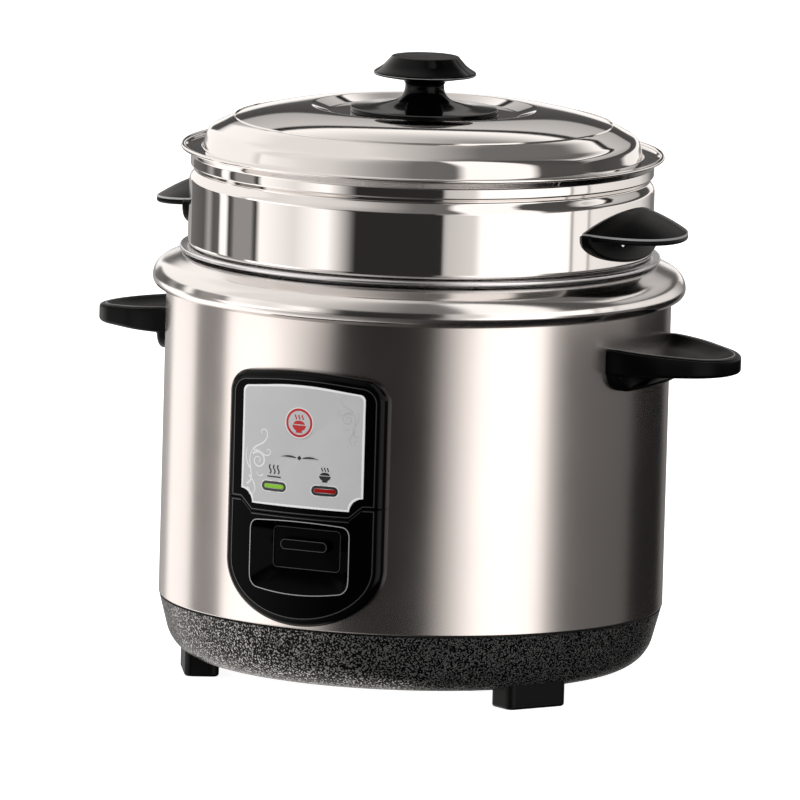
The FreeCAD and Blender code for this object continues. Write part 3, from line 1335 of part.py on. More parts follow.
def power_inlet():
    """Socket in the rear wall: housing, flange outside the shell, and a room round the pins."""
    outer = SHELL_RADIUS + SEAT_GAP + INLET_FLANGE_WALL
    housing = inlet_prism(0, INLET_DEPTH).common(disc(outer, 0, FAR))
    outline = rectangle(INLET_WIDTH / 2 + INLET_FLANGE, INLET_HEIGHT / 2 + INLET_FLANGE_EDGE,
                        INLET_LEVEL, INLET_CORNER)
    flange = plate_xz(outline, 0, FAR).common(pipe(outer, SHELL_RADIUS + SEAT_GAP, 0, FAR))
    room = rectangle(INLET_WIDTH / 2 - INLET_WALL, INLET_HEIGHT / 2 - INLET_WALL, INLET_LEVEL, INLET_CORNER)
    hollow = plate_xz(room, SHELL_RADIUS - INLET_DEPTH + INLET_WALL, FAR)
    solid = fused([housing, flange]).cut(hollow)
    holes = [on_circle(radial_hole(SCREW_RADIUS + PIN_GAP, INLET_LEVEL), REAR_ANGLE + offset)
             for offset in (-INLET_SCREW_ANGLE, INLET_SCREW_ANGLE)]
    pin_holes = [Part.makeCylinder(INLET_PIN_RADIUS + PIN_GAP, FAR, Vector(x, 0, z), ALONG_Y)
                 for x, z in inlet_pin_places()]
    return solid.cut(holes + pin_holes)


def inlet_pin_places():
    """(x, z) places of the inlet's pins: two low, one high in the middle."""
    low = INLET_LEVEL - INLET_PIN_LIFT / 2
    side = INLET_PIN_SPACING / 2
    return [(-side, low), (side, low), (0, low + INLET_PIN_LIFT)]


def inlet_pins():
    """Three pins through the housing's back wall."""
    start = SHELL_RADIUS - INLET_DEPTH - INLET_STUB
    length = INLET_STUB + INLET_WALL + INLET_PIN_LENGTH
    return Part.makeCompound([Part.makeCylinder(INLET_PIN_RADIUS, length, Vector(x, start, z), ALONG_Y)
                              for x, z in inlet_pin_places()])


def inlet_screws():
    """Two screws from outside through the inlet's flange and the shell."""
    seat = SHELL_RADIUS + SEAT_GAP + INLET_FLANGE_WALL + SEAT_GAP
    screw = inward_bolt(seat, INLET_SCREW_LENGTH, INLET_LEVEL)
    return Part.makeCompound([on_circle(screw, REAR_ANGLE + offset)
                              for offset in (-INLET_SCREW_ANGLE, INLET_SCREW_ANGLE)])


def stub_place(index):
    """Point under an inlet pin's inner stub where a wire begins."""
    x, z = inlet_pin_places()[index]
    return (x, SHELL_RADIUS - INLET_DEPTH - INLET_STUB / 2, z - INLET_PIN_RADIUS - SEAT_GAP)


def terminal_foot(index):
    """Point under a heater terminal."""
    x, y = terminal_places()[index]
    return (x, y, PLATE_BOTTOM - TERMINAL_HEIGHT)


def neutral_wire():
    """Wire from the inlet to the heater's right terminal."""
    start = stub_place(0)
    end = terminal_foot(0)
    low = end[2] - WIRE_DROP / 2
    return wire_tube([start, (start[0], start[1], low), (end[0], end[1], low), end])


def live_wire():
    """Wire from the inlet to the thermal fuse."""
    start = stub_place(1)
    level = LINER_FLOOR - FUSE_DROP
    end = (FUSE_SIDE, FUSE_BACK + FUSE_LENGTH / 2, level)
    turn = (FUSE_SIDE, (end[1] + start[1]) / 2, level)
    return wire_tube([start, (start[0], start[1], level), turn, end])


def blade_end(side):
    """Point at the front of a micro switch blade."""
    return (side * BLADE_SPACING / 2, button_place() - SWITCH_LENGTH / 2 - BLADE_LENGTH, blade_level())


def fuse_wire():
    """Wire from the thermal fuse forward to the micro switch."""
    level = LINER_FLOOR - FUSE_DROP
    start = (FUSE_SIDE, FUSE_BACK - FUSE_LENGTH / 2, level)
    end = blade_end(1)
    front = end[1] - WIRE_FRONT
    lead = (FUSE_SIDE, start[1] - WIRE_DROP / 2, level)
    return wire_tube([start, lead, (FUSE_SIDE, start[1] - 2 * WIRE_DROP, WIRE_LOW),
                      (WIRE_SIDE, front, end[2]), (end[0], front, end[2]), end])


def heater_wire():
    """Wire from the micro switch back to the heater's left terminal."""
    start = blade_end(-1)
    end = terminal_foot(1)
    front = start[1] - WIRE_FRONT
    return wire_tube([start, (start[0], front, start[2]), (-WIRE_SIDE, front, start[2]),
                      (-WIRE_SIDE, 0, WIRE_LOW), (end[0], end[1], end[2] - WIRE_DROP / 2), end])


# Pot, steamer and lid


def inner_pot():
    """Spun pot with a rolled rim that hangs just above the ring."""
    flange = POT_RIM - POT_WALL
    profile = [(0, PLATE_TOP, 0), (POT_RADIUS, PLATE_TOP, POT_ROUND), (POT_RADIUS, flange, POT_FLANGE_ROUND),
               (POT_RIM_RADIUS, flange, 0)]
    return sheet(profile, POT_WALL).fuse(bead(POT_RIM_RADIUS, POT_BEAD, POT_RIM - POT_BEAD)).removeSplitter()


def steamer_floor_holes():
    """Cutting tools: rings of steam holes in the steamer's floor."""
    low = STEP_LEVEL - STEAMER_INSERT
    high = low + 2 * STEAMER_WALL
    low -= STEAMER_WALL
    holes = [disc(STEAMER_HOLE_RADIUS, low, high)]
    for ring in range(1, STEAMER_RING_COUNT + 1):
        for x, y in circle_places(ring * STEAMER_HOLE_PITCH, STEAMER_HOLE_COUNT * ring, 0):
            holes.append(disc(STEAMER_HOLE_RADIUS, low, high, x, y))
    return holes


def steamer_handle_level():
    """Height of the steamer handle's thin edge."""
    return STEP_LEVEL + STEAMER_HANDLE_RISE


def rivet_level():
    """Height of the steamer handle's rivets."""
    return steamer_handle_level() - STEAMER_PAD_DROP / 3


def steamer_basket():
    """Spun steamer: pierced floor, insert, straight wall, grooved neck and rolled rim."""
    floor = STEP_LEVEL - STEAMER_INSERT
    profile = [
        (0, floor, 0), (INSERT_RADIUS, floor, STEAMER_SHOULDER_ROUND / 2),
        (INSERT_RADIUS, STEP_LEVEL, PRESS_ROUND), (STEAMER_RADIUS, STEP_LEVEL, STEAMER_STEP_ROUND),
        (STEAMER_RADIUS, STEP_LEVEL + STEAMER_SIDE, STEAMER_SHOULDER_ROUND),
        (GROOVE_RADIUS, GROOVE_LEVEL, PRESS_ROUND), (NECK_RADIUS, NECK_LEVEL, STEAMER_NECK_ROUND),
        (NECK_RADIUS, NECK_TOP, STEAMER_NECK_ROUND), (BEAD_RADIUS, STEAMER_RIM, 0),
    ]
    basket = sheet(profile, STEAMER_WALL)
    basket = basket.fuse(bead(BEAD_RADIUS, STEAMER_BEAD, STEAMER_RIM)).removeSplitter()
    rivets = [on_circle(radial_hole(RIVET_RADIUS + PIN_GAP, rivet_level()), side + offset)
              for side in (LEFT_ANGLE, RIGHT_ANGLE) for offset in (-RIVET_ANGLE, RIVET_ANGLE)]
    return basket.cut(steamer_floor_holes() + rivets)


def steamer_handle(angle):
    """Round domed tongue with a thin edge, tilted down to its tip, and a half-moon pad below."""
    edge = steamer_handle_level()
    low = edge - STEAMER_HANDLE_EDGE
    high = edge + STEAMER_HANDLE_CROWN
    tip = STEAMER_RADIUS + STEAMER_HANDLE_REACH
    middle = tip - STEAMER_HANDLE_RADIUS
    dome = (STEAMER_HANDLE_RADIUS ** 2 + STEAMER_HANDLE_CROWN ** 2) / (2 * STEAMER_HANDLE_CROWN)
    corner = dome * math.tan(math.asin(STEAMER_HANDLE_RADIUS / dome) / 2)
    tongue = turned([(0, low, 0), (STEAMER_HANDLE_RADIUS, low, STEAMER_HANDLE_ROUND),
                     (STEAMER_HANDLE_RADIUS, edge, 0), (corner, high, dome), (0, high, 0)])
    tongue = tongue.translated(Vector(middle, 0, 0))
    tilt = math.degrees(math.atan2(STEAMER_HANDLE_FALL, STEAMER_HANDLE_REACH))
    tongue = tongue.rotated(Vector(tip, 0, edge), ALONG_Y, tilt)
    pad_half = STEAMER_HANDLE_RADIUS + STEAMER_PAD_EXTRA
    moon = ellipse_prism(0, pad_half, STEAMER_PAD_DROP + STEAMER_HANDLE_EDGE, 0, FAR)
    moon = moon.rotated(ORIGIN, ALONG_X, 90).rotated(ORIGIN, UP, 90).translated(Vector(0, 0, edge))
    below = block(-FAR, FAR, -FAR, FAR, 0, edge + STEAMER_HANDLE_EDGE)
    pad = moon.common(below).common(disc(STEAMER_RADIUS + STEAMER_PAD_WALL, 0, FAR))
    inside = disc(STEAMER_RADIUS + SEAT_GAP, 0, FAR)
    front = block(0, FAR, -FAR, FAR, 0, FAR)
    whole = fused([tongue.cut(inside).common(front), pad.cut(inside).common(front)])
    hole = Part.makeCylinder(RIVET_RADIUS + PIN_GAP, STEAMER_RADIUS - STEAMER_WALL + RIVET_LENGTH,
                             Vector(0, 0, rivet_level()), ALONG_X)
    return on_circle(whole.cut([on_circle(hole, offset) for offset in (-RIVET_ANGLE, RIVET_ANGLE)]), angle)


def steamer_rivets():
    """Rivets from inside the steamer into its handles."""
    seat = STEAMER_RADIUS - STEAMER_WALL - SEAT_GAP
    rivet = bolt(seat, RIVET_HEAD_RADIUS, RIVET_HEAD, RIVET_RADIUS, RIVET_LENGTH, rivet_level())
    angles = [side + offset for side in (LEFT_ANGLE, RIGHT_ANGLE) for offset in (-RIVET_ANGLE, RIVET_ANGLE)]
    return Part.makeCompound([on_circle(rivet, angle) for angle in angles])


def lid_shell():
    """Pressed lid: flange in the steamer's rim, domed shoulder and a dished middle."""
    shoulder = LID_RADIUS - LID_SIDE_IN
    profile = [
        (LID_FLANGE_RADIUS, FLANGE_LEVEL, 0), (LID_RADIUS, FLANGE_LEVEL, PRESS_ROUND),
        (shoulder, LID_SIDE_TOP, LID_SIDE_ROUND),
        (shoulder - LID_SHOULDER_IN, LID_SHOULDER, LID_SHOULDER_ROUND),
        (LID_WELL_RADIUS + LID_DOME_OUT, LID_CROWN - LID_DOME_DROP, LID_DOME_ROUND),
        (LID_WELL_RADIUS, LID_CROWN, LID_WELL_ROUND),
        (LID_WELL_RADIUS - LID_WELL_SLOPE, LID_WELL, LID_WELL_ROUND),
        (KNOB_SCREW_RADIUS + PIN_GAP, LID_WELL, 0),
    ]
    lid = sheet(profile, LID_WALL)
    return lid.cut(disc(LID_VENT_RADIUS, LID_WELL - LID_SIDE, FAR, 0, LID_VENT_PLACE))


def knob_base():
    """Trumpet-shaped skirt between lid and knob."""
    return turned([
        (KNOB_SCREW_RADIUS + PIN_GAP, LID_WELL, 0), (KNOB_SKIRT_RADIUS, LID_WELL, KNOB_SKIRT_FOOT_ROUND),
        (KNOB_SKIRT_RADIUS, LID_WELL + KNOB_SKIRT_EDGE, KNOB_SKIRT_ROUND),
        (KNOB_STEM_RADIUS, LID_WELL + KNOB_SKIRT_EDGE * 2, KNOB_STEM_RADIUS / 2),
        (KNOB_STEM_RADIUS, KNOB_SEAM, KNOB_SEAM_ROUND), (KNOB_SCREW_RADIUS + PIN_GAP, KNOB_SEAM, 0),
    ])


def knob():
    """Grip: stem, thin-edged disc and a flat raised top."""
    bore = KNOB_SCREW_RADIUS + PIN_GAP
    bore_top = LID_WELL + KNOB_SCREW_DEPTH
    return turned([
        (bore, KNOB_SEAM, 0), (KNOB_STEM_RADIUS, KNOB_SEAM, KNOB_SEAM_ROUND),
        (KNOB_STEM_RADIUS, KNOB_DISC - KNOB_FLARE, KNOB_FLARE), (KNOB_RADIUS, KNOB_DISC, KNOB_EDGE_ROUND),
        (KNOB_RADIUS, KNOB_DISC + KNOB_EDGE, KNOB_EDGE_ROUND), (KNOB_TOP_RADIUS, KNOB_TOP, KNOB_TOP_ROUND),
        (0, KNOB_TOP, 0), (0, bore_top, 0), (bore, bore_top, 0),
    ])


def knob_screw():
    """Screw and washer up through the lid into the knob."""
    under = LID_WELL - LID_WALL
    seat = under - KNOB_WASHER
    washer = disc(KNOB_WASHER_RADIUS, seat, under)
    head = disc(SCREW_HEAD_RADIUS + KNOB_SCREW_RADIUS / 2, seat - SCREW_HEAD_HEIGHT, seat)
    shank = disc(KNOB_SCREW_RADIUS, under, LID_WELL + KNOB_SCREW_DEPTH - RUN_GAP)
    return fused([washer, head, shank])


PIECES = {
    "body_shell": body_shell,
    "top_ring": top_ring,
    "inner_liner": inner_liner,
    "base_skirt": base_skirt,
    "foot_rear": lambda: foot(foot_angles()[0]),
    "foot_front_left": lambda: foot(foot_angles()[1]),
    "foot_front_right": lambda: foot(foot_angles()[2]),
    "foot_screws": foot_screws,
    "bottom_cover": bottom_cover,
    "bottom_cover_screws": bottom_cover_screws,
    "handle_left": lambda: side_handle(LEFT_ANGLE),
    "handle_right": lambda: side_handle(RIGHT_ANGLE),
    "handle_screws": handle_screws,
    "panel_frame": panel_frame,
    "panel_lower": panel_lower,
    "label_plate": label_plate,
    "lens_warm": lambda: lens(-1),
    "lens_cook": lambda: lens(1),
    "lamp_warm": lambda: lamp(-1),
    "lamp_cook": lambda: lamp(1),
    "lamp_holder": lamp_holder,
    "panel_screws": panel_screws,
    "switch_key": switch_key,
    "switch_lever": switch_lever,
    "lever_bracket": lever_bracket,
    "bracket_screws": bracket_screws,
    "lever_pin": lever_pin,
    "micro_switch": micro_switch,
    "micro_switch_button": micro_switch_button,
    "heating_plate": heating_plate,
    "heating_tube": lambda: tube_ring(TUBE_RADIUS),
    "heater_terminals": heater_terminals,
    "plate_posts": plate_posts,
    "thermostat_sleeve": thermostat_sleeve,
    "sensor_cap": sensor_cap,
    "ferrite_disc": ferrite_disc,
    "magnet": magnet,
    "plunger_rod": plunger_rod,
    "sensor_spring": sensor_spring,
    "release_spring": release_spring,
    "keep_warm_thermostat": keep_warm_thermostat,
    "thermal_fuse": thermal_fuse,
    "power_inlet": power_inlet,
    "inlet_pins": inlet_pins,
    "inlet_screws": inlet_screws,
    "neutral_wire": neutral_wire,
    "live_wire": live_wire,
    "fuse_wire": fuse_wire,
    "heater_wire": heater_wire,
    "inner_pot": inner_pot,
    "steamer_basket": steamer_basket,
    "steamer_handle_left": lambda: steamer_handle(LEFT_ANGLE),
    "steamer_handle_right": lambda: steamer_handle(RIGHT_ANGLE),
    "steamer_rivets": steamer_rivets,
    "lid_shell": lid_shell,
    "knob_base": knob_base,
    "knob": knob,
    "knob_screw": knob_screw,
}


def main():
    """Build every piece, write it and print its size."""
    for name, make in PIECES.items():
        shape = make()
        shape.exportStep("parts/" + name + ".step")
        box = shape.BoundBox
        print(f"{name:24s} solids {len(shape.Solids):2d} valid {shape.isValid()} volume {shape.Volume:10.1f}",
              f"x {box.XMin:7.1f} {box.XMax:7.1f} y {box.YMin:7.1f} {box.YMax:7.1f}",
              f"z {box.ZMin:6.1f} {box.ZMax:6.1f}")


main()
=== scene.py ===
"""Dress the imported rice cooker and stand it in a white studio.

Sizes are in millimetres until a mesh is made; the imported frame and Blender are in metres. The panel faces -Y.
"""

from __future__ import annotations

import json
import logging
import math
from dataclasses import dataclass
from enum import Enum
from typing import Sequence

import bmesh
import bpy
import numpy as np
from mathutils import Euler, Quaternion, Vector
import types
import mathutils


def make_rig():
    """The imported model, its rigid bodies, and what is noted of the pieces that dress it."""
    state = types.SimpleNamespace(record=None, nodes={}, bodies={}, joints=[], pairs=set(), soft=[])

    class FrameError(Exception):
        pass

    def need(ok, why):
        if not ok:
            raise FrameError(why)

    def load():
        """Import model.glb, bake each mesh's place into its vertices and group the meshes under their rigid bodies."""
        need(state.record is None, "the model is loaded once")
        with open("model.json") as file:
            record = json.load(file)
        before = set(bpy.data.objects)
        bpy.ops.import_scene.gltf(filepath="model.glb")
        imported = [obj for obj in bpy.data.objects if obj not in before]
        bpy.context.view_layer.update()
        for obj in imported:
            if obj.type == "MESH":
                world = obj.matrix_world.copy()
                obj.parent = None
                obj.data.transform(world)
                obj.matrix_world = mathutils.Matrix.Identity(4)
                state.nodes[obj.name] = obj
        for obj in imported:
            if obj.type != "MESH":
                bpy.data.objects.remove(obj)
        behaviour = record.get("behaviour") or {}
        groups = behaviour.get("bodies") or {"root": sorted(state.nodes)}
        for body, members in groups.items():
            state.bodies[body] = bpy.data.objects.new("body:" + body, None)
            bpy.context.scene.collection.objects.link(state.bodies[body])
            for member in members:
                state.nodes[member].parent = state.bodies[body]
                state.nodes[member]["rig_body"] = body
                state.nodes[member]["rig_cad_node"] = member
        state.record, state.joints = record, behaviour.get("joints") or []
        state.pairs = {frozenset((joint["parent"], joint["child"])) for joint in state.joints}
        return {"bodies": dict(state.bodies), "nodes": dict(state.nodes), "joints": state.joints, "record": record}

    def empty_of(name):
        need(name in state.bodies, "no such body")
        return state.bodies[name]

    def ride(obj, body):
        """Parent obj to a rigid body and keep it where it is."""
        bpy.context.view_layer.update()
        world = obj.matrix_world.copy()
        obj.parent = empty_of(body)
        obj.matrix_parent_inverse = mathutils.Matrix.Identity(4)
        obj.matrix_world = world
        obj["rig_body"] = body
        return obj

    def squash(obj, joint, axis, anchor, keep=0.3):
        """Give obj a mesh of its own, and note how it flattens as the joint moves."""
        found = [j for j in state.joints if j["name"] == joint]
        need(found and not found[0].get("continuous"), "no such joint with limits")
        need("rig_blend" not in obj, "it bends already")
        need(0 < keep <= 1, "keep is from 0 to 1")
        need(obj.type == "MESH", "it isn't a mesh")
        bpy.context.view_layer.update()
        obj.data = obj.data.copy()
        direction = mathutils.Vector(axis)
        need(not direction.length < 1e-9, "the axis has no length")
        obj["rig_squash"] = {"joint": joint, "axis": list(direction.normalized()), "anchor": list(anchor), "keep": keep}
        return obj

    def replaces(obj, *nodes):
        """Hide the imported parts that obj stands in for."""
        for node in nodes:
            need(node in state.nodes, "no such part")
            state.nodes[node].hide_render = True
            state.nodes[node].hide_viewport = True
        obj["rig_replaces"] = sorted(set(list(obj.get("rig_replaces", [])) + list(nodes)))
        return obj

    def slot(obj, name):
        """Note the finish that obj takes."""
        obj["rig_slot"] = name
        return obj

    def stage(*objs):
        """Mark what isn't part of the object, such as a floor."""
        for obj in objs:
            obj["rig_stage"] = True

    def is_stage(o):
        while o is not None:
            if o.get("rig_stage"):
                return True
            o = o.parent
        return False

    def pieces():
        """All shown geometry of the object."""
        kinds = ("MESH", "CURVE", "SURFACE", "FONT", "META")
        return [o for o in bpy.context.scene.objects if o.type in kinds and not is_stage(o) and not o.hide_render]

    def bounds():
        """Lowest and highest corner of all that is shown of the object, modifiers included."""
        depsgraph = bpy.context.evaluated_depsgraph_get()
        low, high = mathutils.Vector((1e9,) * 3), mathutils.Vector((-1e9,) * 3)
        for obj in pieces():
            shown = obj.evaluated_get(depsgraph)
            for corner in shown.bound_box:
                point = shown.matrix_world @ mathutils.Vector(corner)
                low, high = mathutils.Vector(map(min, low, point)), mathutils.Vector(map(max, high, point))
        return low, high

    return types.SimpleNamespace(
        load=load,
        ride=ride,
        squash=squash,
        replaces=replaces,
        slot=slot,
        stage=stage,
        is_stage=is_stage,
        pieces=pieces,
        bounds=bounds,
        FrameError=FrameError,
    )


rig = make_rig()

MM = 0.001
TURN_SEGMENTS = 288
KNOB_SEGMENTS = 160
ARC_STEP = 0.9
ARC_PIECES = 96
QUARTER = math.pi / 2
FULL_TURN = 2 * math.pi
# Depth and lift of the painted highlight bands over the face that they lie on.
HIGHLIGHT_DEPTH = -0.1
HIGHLIGHT_LIFT = 0.05
ROOT = "cooker_body"
SIZE_FILE = "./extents.json"
LOG = logging.getLogger("rice_cooker")

Corner = tuple[float, float, float]
Colour = tuple[float, float, float]


class Side(Enum):
    """The two sides of the cooker, as the sign of X."""

    LEFT = -1
    RIGHT = 1

    @property
    def turn(self) -> np.ndarray:
        """Factors that bring a piece of the right side to this side, by half a turn about Z."""
        return np.array([self.value, self.value, 1])


# Surfaces


def unit(vector: np.ndarray) -> np.ndarray:
    """Scale vectors along the last axis to length 1."""
    return vector / np.maximum(np.linalg.norm(vector, axis=-1, keepdims=True), 1e-12)


def rounded_path(corners: Sequence[Corner], closed: bool, steps: int = 8) -> np.ndarray:
    """Sample straight runs joined by tangent arcs.

    A corner is replaced by the arc that touches both runs: its centre lies on the bisector at
    radius / sin(half angle), and it starts and ends radius / tan(half angle) from the corner.

    Args:
        corners: (first, second, radius) of each corner.
        closed: Whether the last corner joins the first.
        steps: Fewest arc pieces per corner; a long arc has one for every ARC_STEP, up to ARC_PIECES.

    Returns:
        Array of shape (n, 2).
    """
    points = np.array([corner[:2] for corner in corners], float)
    count = len(points)
    runs = []
    for index, (_, _, radius) in enumerate(corners):
        place = points[index]
        if radius <= 0 or (not closed and index in (0, count - 1)):
            runs.append(place[None])
            continue
        back = unit(points[index - 1] - place)
        ahead = unit(points[(index + 1) % count] - place)
        half = 0.5 * math.acos(float(np.clip(back @ ahead, -1, 1)))
        reach = radius / math.tan(half)
        centre = place + unit(back + ahead) * radius / math.sin(half)
        start = place + back * reach - centre
        end = place + ahead * reach - centre
        first = math.atan2(start[1], start[0])
        turn = math.atan2(start[0] * end[1] - start[1] * end[0], float(start @ end))
        pieces = max(steps, min(ARC_PIECES, math.ceil(radius * abs(turn) / ARC_STEP)))
        angles = first + turn * np.linspace(0, 1, pieces + 1)
        runs.append(centre + radius * np.column_stack([np.cos(angles), np.sin(angles)]))
    return np.concatenate(runs)


def rounded_box(across: tuple[float, float], along: tuple[float, float], corner: float, steps: int) -> np.ndarray:
    """Rectangle with rounded corners.

    Args:
        across: Lowest and highest first coordinate.
        along: Lowest and highest second coordinate.
        corner: Radius of its corners.
        steps: Fewest arc pieces per corner.

    Returns:
        Closed outline, shape (n, 2).
    """
    corners = [(across[0], along[0], corner), (across[1], along[0], corner), (across[1], along[1], corner),
               (across[0], along[1], corner)]
    return rounded_path(corners, True, steps)


def divided(path: np.ndarray, longest: float, closed: bool) -> np.ndarray:
    """Divide every run of a path evenly, so that no run is longer than a limit.

    Args:
        path: Points, shape (n, 2).
        longest: Longest run left.
        closed: Whether the last point joins the first.

    Returns:
        The denser path.
    """
    starts = path if closed else path[:-1]
    runs = (np.roll(path, -1, axis=0) if closed else path[1:]) - starts
    counts = np.maximum(np.ceil(np.linalg.norm(runs, axis=1) / longest).astype(int), 1)
    index = np.repeat(np.arange(len(starts)), counts)
    step = np.arange(counts.sum()) - np.repeat(np.cumsum(counts) - counts, counts)
    points = starts[index] + (step / counts[index])[:, None] * runs[index]
    return points if closed else np.vstack([points, path[-1]])


def path_normals(path: np.ndarray, closed: bool) -> np.ndarray:
    """Left-hand normals of a path, from the chord between each point's neighbours.

    Args:
        path: Points, shape (n, 2).
        closed: Whether the last point joins the first.

    Returns:
        Unit normals, shape (n, 2).
    """
    if closed:
        chord = np.roll(path, -1, axis=0) - np.roll(path, 1, axis=0)
    else:
        chord = np.gradient(path, axis=0)
    return unit(np.column_stack([-chord[:, 1], chord[:, 0]]))


def drawn_in(outline: np.ndarray, width: float) -> np.ndarray:
    """Move a closed outline towards its middle, along its normals.

    Args:
        outline: Points, shape (n, 2).
        width: How far.

    Returns:
        The moved outline.
    """
    normal = path_normals(outline, True)
    normal *= np.sign((normal * (outline.mean(0) - outline)).sum(1))[:, None]
    return outline + width * normal


def quarter_round(radius: float, pieces: int) -> list[tuple[float, float]]:
    """Quarter circle over an edge, from its side to its face.

    Args:
        radius: Its radius.
        pieces: Number of its points.

    Returns:
        (inset, short) of each point: how far it lies inside the side, and how far it falls short of the face.
    """
    return [(radius * (1 - math.cos(a)), radius * (1 - math.sin(a))) for a in np.linspace(0, QUARTER, pieces)]


def pad_rings(outline: np.ndarray, start: float, face: float, soft: float) -> np.ndarray:
    """Carry a (y, z) outline out from a round wall, x = sqrt(radius^2 - y^2), with a rounded outer edge.

    Args:
        outline: Closed outline, shape (n, 2).
        start: Radius at which it starts, inside the wall.
        face: Radius of its outer face.
        soft: Radius of its outer edge.

    Returns:
        Rings of shape (k, n, 3).
    """
    steps = [(0.0, start)] + [(inset, face - short) for inset, short in quarter_round(soft, 6)]
    rings = []
    for inset, radius in steps:
        moved = drawn_in(outline, inset)
        rings.append(np.column_stack([np.sqrt(radius ** 2 - moved[:, 0] ** 2), moved]))
    return np.array(rings)


def highlight_band_section(outline: np.ndarray, width: float) -> list[tuple[np.ndarray, float]]:
    """Four edges of a fine painted highlight band that lies on a face.

    Args:
        outline: Closed outline that it follows, shape (n, 2).
        width: Its width, inwards.

    Returns:
        (path, lift over the face) of each edge.
    """
    inner = drawn_in(outline, width)
    return [(outline, HIGHLIGHT_DEPTH), (outline, HIGHLIGHT_LIFT), (inner, HIGHLIGHT_LIFT), (inner, HIGHLIGHT_DEPTH)]


def sheet_section(corners: Sequence[Corner], wall: float, longest: float = 3.0) -> np.ndarray:
    """Closed section of pressed sheet: a path and the same path moved sideways by its wall.

    Args:
        corners: (radius, height, round) of the face.
        wall: Thickness, to the left of the path if positive.
        longest: Longest run of the section.

    Returns:
        Closed section, shape (n, 2).
    """
    face = divided(rounded_path(corners, False), longest, False)
    other = face + wall * path_normals(face, False)
    return np.vstack([face, other[::-1]])


def turned(section: np.ndarray, segments: int = TURN_SEGMENTS) -> np.ndarray:
    """Carry a section of (radius, height) round Z: (r cos t, r sin t, z).

    Args:
        section: Shape (k, 2).
        segments: Steps round the circle.

    Returns:
        Rings of shape (k, segments, 3).
    """
    angle = np.linspace(0, FULL_TURN, segments, endpoint=False)
    radius, height = section[:, :1], section[:, 1:]
    return np.stack([radius * np.cos(angle), radius * np.sin(angle), height + 0 * angle], axis=-1)


def at_angles(outline: np.ndarray, centre: tuple[float, float], angles: np.ndarray) -> np.ndarray:
    """Read a star-shaped outline at given angles, by its distance from a centre.

    Args:
        outline: Closed outline, shape (n, 2).
        centre: Point that sees the whole outline.
        angles: Angles in [-pi, pi).

    Returns:
        Points of the outline, shape (len(angles), 2).
    """
    offset = outline - np.array(centre)
    theta = np.arctan2(offset[:, 1], offset[:, 0])
    order = np.argsort(theta)
    dense = divided(np.vstack([outline[order], outline[order][:1]]), 0.1, False) - np.array(centre)
    theta = np.unwrap(np.arctan2(dense[:, 1], dense[:, 0]))
    theta = theta - FULL_TURN * np.round((theta[0] + math.pi) / FULL_TURN)
    distance = np.linalg.norm(dense, axis=1)
    read = np.interp(angles, theta, distance, period=FULL_TURN)
    return np.array(centre) + read[:, None] * np.column_stack([np.cos(angles), np.sin(angles)])


def shared_angles(outlines: Sequence[np.ndarray], centre: tuple[float, float], steps: int) -> np.ndarray:
    """Angles about a centre that hit every corner of several outlines, with even steps between.

    Args:
        outlines: Closed outlines.
        centre: Point that sees them all.
        steps: Even steps round the circle.

    Returns:
        Sorted angles in [-pi, pi).
    """
    offsets = [outline - np.array(centre) for outline in outlines]
    found = [np.arctan2(offset[:, 1], offset[:, 0]) for offset in offsets]
    even = np.linspace(-math.pi, math.pi, steps, endpoint=False)
    return np.unique(np.round(np.concatenate(found + [even]), 4))


def placed(name: str, data: bpy.types.ID) -> bpy.types.Object:
    """Put a mesh, lamp or camera into the scene, at the origin.

    Args:
        name: Name of the object.
        data: What it shows.

    Returns:
        The object.
    """
    thing = bpy.data.objects.new(name, data)
    bpy.context.scene.collection.objects.link(thing)
    return thing


